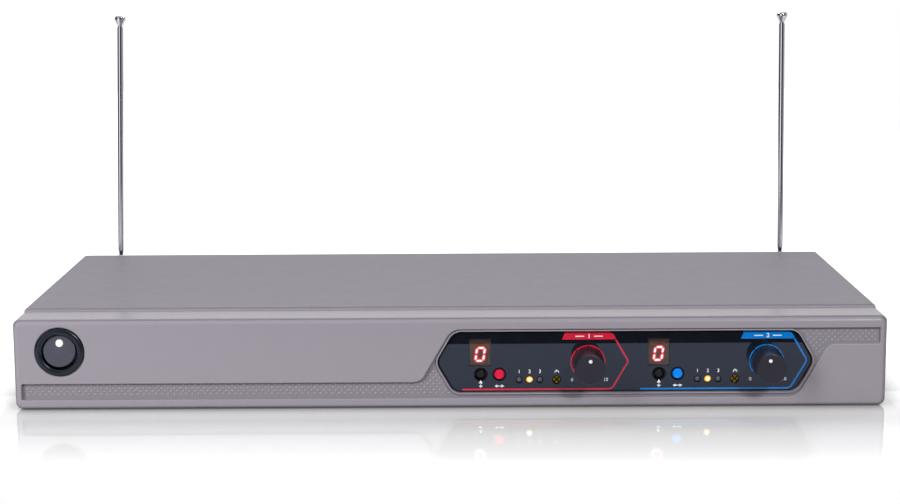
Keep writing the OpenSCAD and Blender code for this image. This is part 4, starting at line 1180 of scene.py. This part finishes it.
class RECEIVER_OT_antennas(bpy.types.Operator):
    """Plates the two telescopic antennas and their elbows"""

    bl_idname = "receiver.antennas"
    bl_label = "Antennas"

    def execute(self, context):
        chrome = metal("chrome_plate", finish().chrome, (0.1, 0.16), ALONG_ROD)
        nickel = metal("satin_nickel", (0.75, 0.74, 0.74), (0.3, 0.4), ALONG_Y)
        black = grained("bushing_black", (0.02, 0.02, 0.022), (0.35, 0.45), scale=1500.0, tone=0.08)
        dress("antenna_bushings", "antenna_sockets", black, 0.35 * MM, 3)
        paint(nickel, "antenna_nuts")
        for channel in CHANNELS:
            self.fork(channel, nickel)
            dress(f"elbow_pin_{channel}", f"elbow_rivet_{channel}", chrome, 0.15 * MM, 2)
            self.tube(channel, chrome)
            dress(f"antenna_middle_{channel}", f"middle_tube_{channel}", chrome, 0.06 * MM, 2)
            dress(f"antenna_tip_{channel}", f"tip_rod_{channel}", chrome, 0.18 * MM, 3, angle=20.0)
        return {"FINISHED"}

    def fork(self, channel, material):
        """A fork with rounded ears, on a round head whose face is filled anew round them."""
        node = f"antenna_fork_{channel}"
        axis = axis_point(f"antenna_{channel}_swivel")
        head_radius = 4.15 * MM
        mesh = cad_copy(node)
        front = max(vert.co.y for vert in mesh.verts if (vert.co - axis).xz.length > head_radius)
        faces = [face for face in mesh.faces if all(near(vert.co.y, front) for vert in face.verts)]
        bmesh.ops.delete(mesh, geom=faces, context="FACES")
        ear_y = front + 0.1 * MM
        edges = [edge for edge in sharp_edges(mesh) if max(vert.co.y for vert in edge.verts) > ear_y]
        round_edges(mesh, edges, 0.15 * MM, 2)
        outline = [edge for edge in mesh.edges if edge.is_boundary]
        bmesh.ops.triangle_fill(mesh, use_beauty=True, edges=outline, normal=(0.0, 1.0, 0.0))
        bmesh.ops.recalc_face_normals(mesh, faces=mesh.faces)
        add_piece(f"elbow_fork_{channel}", mesh, [material], node_body(node), [node])

    def tube(self, channel, material):
        """An antenna's outer tube on its flat foot, with points joined across the thin step between them."""
        node = f"antenna_outer_{channel}"
        mesh = cad_copy(node, join=0.06 * MM)
        round_edges(mesh, sharp_edges(mesh, self.off_neck(channel)), 0.08 * MM, 2)
        add_piece(f"outer_tube_{channel}", mesh, [material], node_body(node), [node])

    def off_neck(self, channel):
        """A test that leaves out the pin's hole and the neck between an antenna's flat foot and its tube."""
        elbow = f"antenna_{channel}_elbow"
        centre = axis_point(elbow)
        pin = Vector(JOINTS[elbow]["axis"])
        along = Vector(JOINTS[f"antenna_{channel}_middle_slide"]["axis"])
        slim = 1.3 * MM
        foot = 12.0 * MM

        def clear(place):
            """Whether a point is off the pin and off the neck."""
            reach = place - centre
            off_neck = reach.cross(along).length > slim or reach.length > foot
            return reach.cross(pin).length > slim and off_neck

        return clear


class RECEIVER_OT_connectors(bpy.types.Operator):
    """Finishes the rear connectors and numbers the outputs"""

    bl_idname = "receiver.connectors"
    bl_label = "Rear connectors"

    def execute(self, context):
        black = grained("connector_black", (0.02, 0.02, 0.022), (0.35, 0.5), scale=1500.0, tone=0.08)
        pin = metal("pin_silver", (0.78, 0.76, 0.68), (0.18, 0.28), ALONG_Y)
        nickel = metal("nut_nickel", (0.58, 0.57, 0.55), (0.2, 0.32), ALONG_Y)
        white = grained("rear_white", finish().white, (0.4, 0.5), scale=2000.0, depth=0.0, tone=0.03)
        for channel in CHANNELS:
            dress(f"xlr_output_{channel}", f"output_socket_{channel}", black, 0.3 * MM, 3)
        dress("xlr_pins", "output_pins", pin, 0.35 * MM, 3)
        dress("mix_jack", "jack_barrel", black, 0.2 * MM, 2)
        dress("jack_nut", "jack_hex_nut", nickel, 0.2 * MM, 2)
        dress("dc_inlet", "inlet_socket", black, 0.2 * MM, 2)
        self.numbers(white)
        return {"FINISHED"}

    def numbers(self, white):
        """A numeral beside each output, drawn mirrored in X because the print is turned to face +Y."""
        mesh = bmesh.new()
        for channel in CHANNELS:
            low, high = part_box(f"xlr_output_{channel}")
            place = (REAR_NUMERAL_ASIDE - (low.x + high.x) / 2, (low.z + high.z) / 2)
            lettered(mesh, str(channel), place, REAR_NUMERAL)
        raise_print(mesh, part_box("rear_panel")[1].y, sizes().print_height, facing=1.0)
        add_piece("rear_numbers", mesh, [white], "case", smooth=20.0)


class RECEIVER_OT_inside(bpy.types.Operator):
    """Finishes the boards and the parts inside the case"""

    bl_idname = "receiver.inside"
    bl_label = "Inside"

    def execute(self, context):
        paint(solder_mask("solder_mask_green", (0.02, 0.11, 0.05)), "control_board", "main_board")
        paint(metal("zinc_screws", (0.62, 0.62, 0.6), (0.25, 0.4)), "board_screws")
        tin = metal("tinned_shield", (0.66, 0.66, 0.64), (0.25, 0.4), ALONG_Y)
        paint(tin, "tuner_shield_1", "tuner_shield_2", "potentiometers")
        paint(grained("tact_black", (0.02, 0.02, 0.022), (0.4, 0.5)), "tact_switches", "board_headers")
        paint(grained("capacitor_sleeve", (0.02, 0.025, 0.06), (0.3, 0.4)), "capacitors")
        paint(metal("black_anodised", (0.05, 0.05, 0.055), (0.4, 0.55), ALONG_Z), "heat_sink")
        paint(grained("ribbon_grey", (0.3, 0.3, 0.31), (0.5, 0.6), scale=800.0), "ribbon_cable")
        paint(grained("lead_red", (0.5, 0.02, 0.02), (0.4, 0.5)), "power_leads")
        paint(grained("lead_black", (0.03, 0.03, 0.035), (0.45, 0.55)), "antenna_leads")
        return {"FINISHED"}


# Stage

class RECEIVER_OT_stage(bpy.types.Operator):
    """Sets the floor, the lamps, the surrounding light and the camera"""

    bl_idname = "receiver.stage"
    bl_label = "Studio"

    def execute(self, context):
        bpy.context.scene.view_settings.view_transform = "Standard"
        self.floor()
        self.sky()
        front = Vector((0.0, CAD_BOX[0].y, LAMP_TARGET_HEIGHT))
        self.lamp("key_lamp", (0.63, -1.3, 0.85), front, (0.25, 0.25), stage().key_power)
        self.lamp("strip_lamp", (0.0, -1.1, 1.1), front, (1.4, 0.1), stage().strip_power)
        fill = self.lamp("fill_lamp", (-0.9, -0.85, 0.45), front, (0.25, 0.9), stage().fill_power)
        fill.visible_glossy = False
        self.lamp("top_lamp", (0.0, 0.8, 1.1), Vector(), (1.6, 0.6), stage().top_power)
        self.camera()
        return {"FINISHED"}

    def floor(self):
        """A pale floor that reaches from a little in front of the receiver to far behind it."""
        half_length = 1.0
        mesh = bmesh.new()
        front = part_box("front_bezel")[0].y - stage().floor_front
        bmesh.ops.create_grid(mesh, x_segments=1, y_segments=1, size=half_length)
        bmesh.ops.scale(mesh, vec=(stage().floor_width / 2, 1.0, 1.0), verts=mesh.verts)
        bmesh.ops.translate(mesh, vec=(0.0, half_length + front, 0.0), verts=mesh.verts)
        data = bpy.data.meshes.new("studio_floor")
        mesh.to_mesh(data)
        mesh.free()
        data.materials.append(self.floor_finish())
        floor = bpy.data.objects.new("studio_floor", data)
        bpy.context.scene.collection.objects.link(floor)

    def floor_finish(self):
        """A finish that mirrors the foot of the receiver and fades into the background."""
        material, tree, shader, place = new_material("studio_floor")
        split = tree.nodes.new("ShaderNodeSeparateXYZ")
        link(tree, place, "Object", split, "Vector")
        path = tree.nodes.new("ShaderNodeLightPath")
        self.floor_mirror(tree, shader, split, path)
        self.floor_tone(tree, shader, place, path)
        self.floor_fade(tree, shader, split, path)
        return material

    def floor_mirror(self, tree, shader, split, path):
        """Mirrors the receiver for the camera, less and less towards the floor's front edge."""
        base_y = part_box("front_bezel")[0].y
        reach = base_y - 0.1
        polish = spread(tree, split, "Y", low=0.08, high=0.02, from_low=reach, from_high=base_y - 0.01)
        link(tree, polish, "Result", shader, "Roughness")
        fade = spread(tree, split, "Y", low=0.0, high=1.0, from_low=reach, from_high=base_y)
        ahead = spread(
            tree, split, "Y", low=(fade, "Result"), high=0.0, from_low=base_y + 0.01, from_high=base_y + 0.03
        )
        mirror = switch(tree, path, "Is Camera Ray", 0.0, (ahead, "Result"))
        link(tree, mirror, "Result", shader, "Specular IOR Level")
        shader.inputs["IOR"].default_value = 2.3

    def floor_tone(self, tree, shader, place, path):
        """The floor's colour, shaded at the receiver's foot and weaker in the light that it sends back."""
        grain = noise(tree, place, "Object", 60.0)
        tone = spread(tree, grain, "Fac", 0.995, 1.005)
        base = tree.nodes.new("ShaderNodeRGB")
        base.outputs[0].default_value = (*stage().floor, 1.0)
        tint = tinted(tree, tone, "Result", base, "Color")
        nook = tree.nodes.new("ShaderNodeAmbientOcclusion")
        nook.inputs["Distance"].default_value = CONTACT_SHADE
        shaded = tinted(tree, nook, "AO", tint, "Vector")
        seen = larger(tree, (path, "Is Camera Ray"), (path, "Is Glossy Ray"))
        bounce = switch(tree, seen, "Value", stage().floor_bounce, 1.0)
        kept = tinted(tree, bounce, "Result", shaded, "Vector")
        link(tree, kept, "Vector", shader, "Base Color")

    def floor_fade(self, tree, shader, split, path):
        """White, for the camera, that takes the floor into the background on all sides."""
        base_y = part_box("front_bezel")[0].y
        edge_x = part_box("front_bezel")[1].x
        far = spread(tree, split, "Y", low=0.0, high=1.0, from_low=0.05, from_high=0.5)
        close = spread(
            tree, split, "Y", low=0.36, high=0.1, from_low=base_y - 0.12, from_high=base_y - 0.03
        )
        aside = maths(tree, "ABSOLUTE", (split, "X"))
        ends = spread(
            tree, aside, "Value", low=0.0, high=stage().floor_lift, from_low=edge_x, from_high=edge_x + 0.03
        )
        middle = larger(tree, (far, "Result"), (close, "Result"))
        white = larger(tree, (middle, "Value"), (ends, "Result"))
        lift = switch(tree, path, "Is Camera Ray", 0.0, (white, "Value"))
        shader.inputs["Emission Color"].default_value = (1.0, 1.0, 1.0, 1.0)
        link(tree, lift, "Result", shader, "Emission Strength")

    def sky(self):
        """White behind the receiver, dark in front of it, and plain white to the camera."""
        world = bpy.data.worlds.new("studio_sky")
        bpy.context.scene.world = world
        world.use_nodes = True
        tree = world.node_tree
        light = tree.nodes["Background"]
        place = tree.nodes.new("ShaderNodeTexCoord")
        path = tree.nodes.new("ShaderNodeLightPath")
        height = tree.nodes.new("ShaderNodeSeparateXYZ")
        link(tree, place, "Generated", height, "Vector")
        around = self.surroundings(tree, place)
        back = spread(tree, height, "Z", low=(around, "Value"), high=0.3, from_low=0.3, from_high=0.6)
        seen = larger(tree, (path, "Is Camera Ray"), (path, "Is Transmission Ray"))
        tone = larger(tree, (back, "Result"), (seen, "Value"))
        link(tree, tone, "Value", light, "Color")
        clear = larger(tree, (seen, "Value"), (path, "Is Glossy Ray"))
        level = switch(tree, clear, "Value", stage().sky, 1.0)
        link(tree, level, "Result", light, "Strength")

    def surroundings(self, tree, place):
        """What the receiver mirrors: a white rear, a grey right side and a bright strip at the front left."""
        strip_heading = (-0.53, -0.848, 0.0)
        level = vectors(tree, "MULTIPLY", place, "Generated", (1.0, 1.0, 0.0))
        heading = vectors(tree, "NORMALIZE", level, "Vector")
        split = tree.nodes.new("ShaderNodeSeparateXYZ")
        link(tree, heading, "Vector", split, "Vector")
        right = spread(tree, split, "X", low=0.05, high=stage().side_tone, from_low=-0.4, from_high=0.9)
        front = spread(tree, split, "Y", low=0.1, high=1.0, from_low=-0.96, from_high=-0.2)
        side = maths(tree, "MULTIPLY", (right, "Result"), (front, "Result"))
        rear = spread(tree, split, "Y", low=0.0, high=stage().back_tone, from_low=0.65, from_high=0.85)
        toward = vectors(tree, "DOT_PRODUCT", heading, "Vector", strip_heading)
        strip = spread(tree, toward, "Value", low=0.0, high=1.0, from_low=0.935, from_high=0.955)
        behind = larger(tree, (side, "Value"), (rear, "Result"))
        return larger(tree, (behind, "Value"), (strip, "Result"))

    def lamp(self, name, place, target, size, power):
        """A rectangular soft lamp that points at a target."""
        light = bpy.data.lights.new(name, "AREA")
        light.shape = "RECTANGLE"
        light.size, light.size_y = size
        light.energy = power
        lamp = bpy.data.objects.new(name, light)
        lamp.location = place
        lamp.rotation_euler = (target - Vector(place)).to_track_quat("-Z", "Y").to_euler()
        bpy.context.scene.collection.objects.link(lamp)
        return lamp

    def camera(self):
        """The photograph's view, slightly from above the middle of the front."""
        data = bpy.data.cameras.new("view")
        data.sensor_width = 36.0
        data.lens = stage().lens
        camera = bpy.data.objects.new("view", data)
        turn = Matrix.Rotation(math.radians(CAMERA_YAW), 4, "Z")
        turn = turn @ Matrix.Rotation(math.radians(90.0 + CAMERA_PITCH), 4, "X")
        turn = turn @ Matrix.Rotation(math.radians(CAMERA_ROLL), 4, "Z")
        camera.matrix_world = Matrix.Translation(CAMERA_PLACE) @ turn
        bpy.context.scene.collection.objects.link(camera)
        bpy.context.scene.camera = camera


class RECEIVER_PT_looks(bpy.types.Panel):
    """Lists the receiver's pieces and settings"""

    bl_idname = "RECEIVER_PT_looks"
    bl_label = "Receiver"
    bl_space_type = "VIEW_3D"
    bl_region_type = "UI"
    bl_category = "Receiver"

    def draw(self, context):
        for operator in OPERATORS:
            self.layout.operator(operator.bl_idname)
        for settings in (finish(), sizes(), stage()):
            box = self.layout.box()
            for name in settings.bl_rna.properties.keys():
                if name not in ("name", "rna_type"):
                    box.prop(settings, name)


OPERATORS = (
    RECEIVER_OT_front,
    RECEIVER_OT_case,
    RECEIVER_OT_panel,
    RECEIVER_OT_displays,
    RECEIVER_OT_knobs,
    RECEIVER_OT_buttons,
    RECEIVER_OT_lamps,
    RECEIVER_OT_switch,
    RECEIVER_OT_trimmers,
    RECEIVER_OT_antennas,
    RECEIVER_OT_connectors,
    RECEIVER_OT_inside,
    RECEIVER_OT_stage,
)
SETTINGS = (
    ("receiver_finish", ReceiverFinish),
    ("receiver_sizes", ReceiverSizes),
    ("receiver_stage", ReceiverStage),
)


def register():
    """Registers the settings, the operators and the panel."""
    for name, settings in SETTINGS:
        bpy.utils.register_class(settings)
        setattr(bpy.types.Scene, name, bpy.props.PointerProperty(type=settings))
    for item in (*OPERATORS, RECEIVER_PT_looks):
        bpy.utils.register_class(item)


def unregister():
    """Takes back what register added."""
    for item in (RECEIVER_PT_looks, *reversed(OPERATORS)):
        bpy.utils.unregister_class(item)
    for name, settings in reversed(SETTINGS):
        delattr(bpy.types.Scene, name)
        bpy.utils.unregister_class(settings)


def main():
    """Builds every piece and the stage."""
    register()
    bpy.ops.receiver.front()
    bpy.ops.receiver.case()
    bpy.ops.receiver.panel()
    bpy.ops.receiver.displays()
    bpy.ops.receiver.knobs()
    bpy.ops.receiver.buttons()
    bpy.ops.receiver.lamps()
    bpy.ops.receiver.switch()
    bpy.ops.receiver.trimmers()
    bpy.ops.receiver.antennas()
    bpy.ops.receiver.connectors()
    bpy.ops.receiver.inside()
    bpy.ops.receiver.stage()


if __name__ == "__main__":
    main()
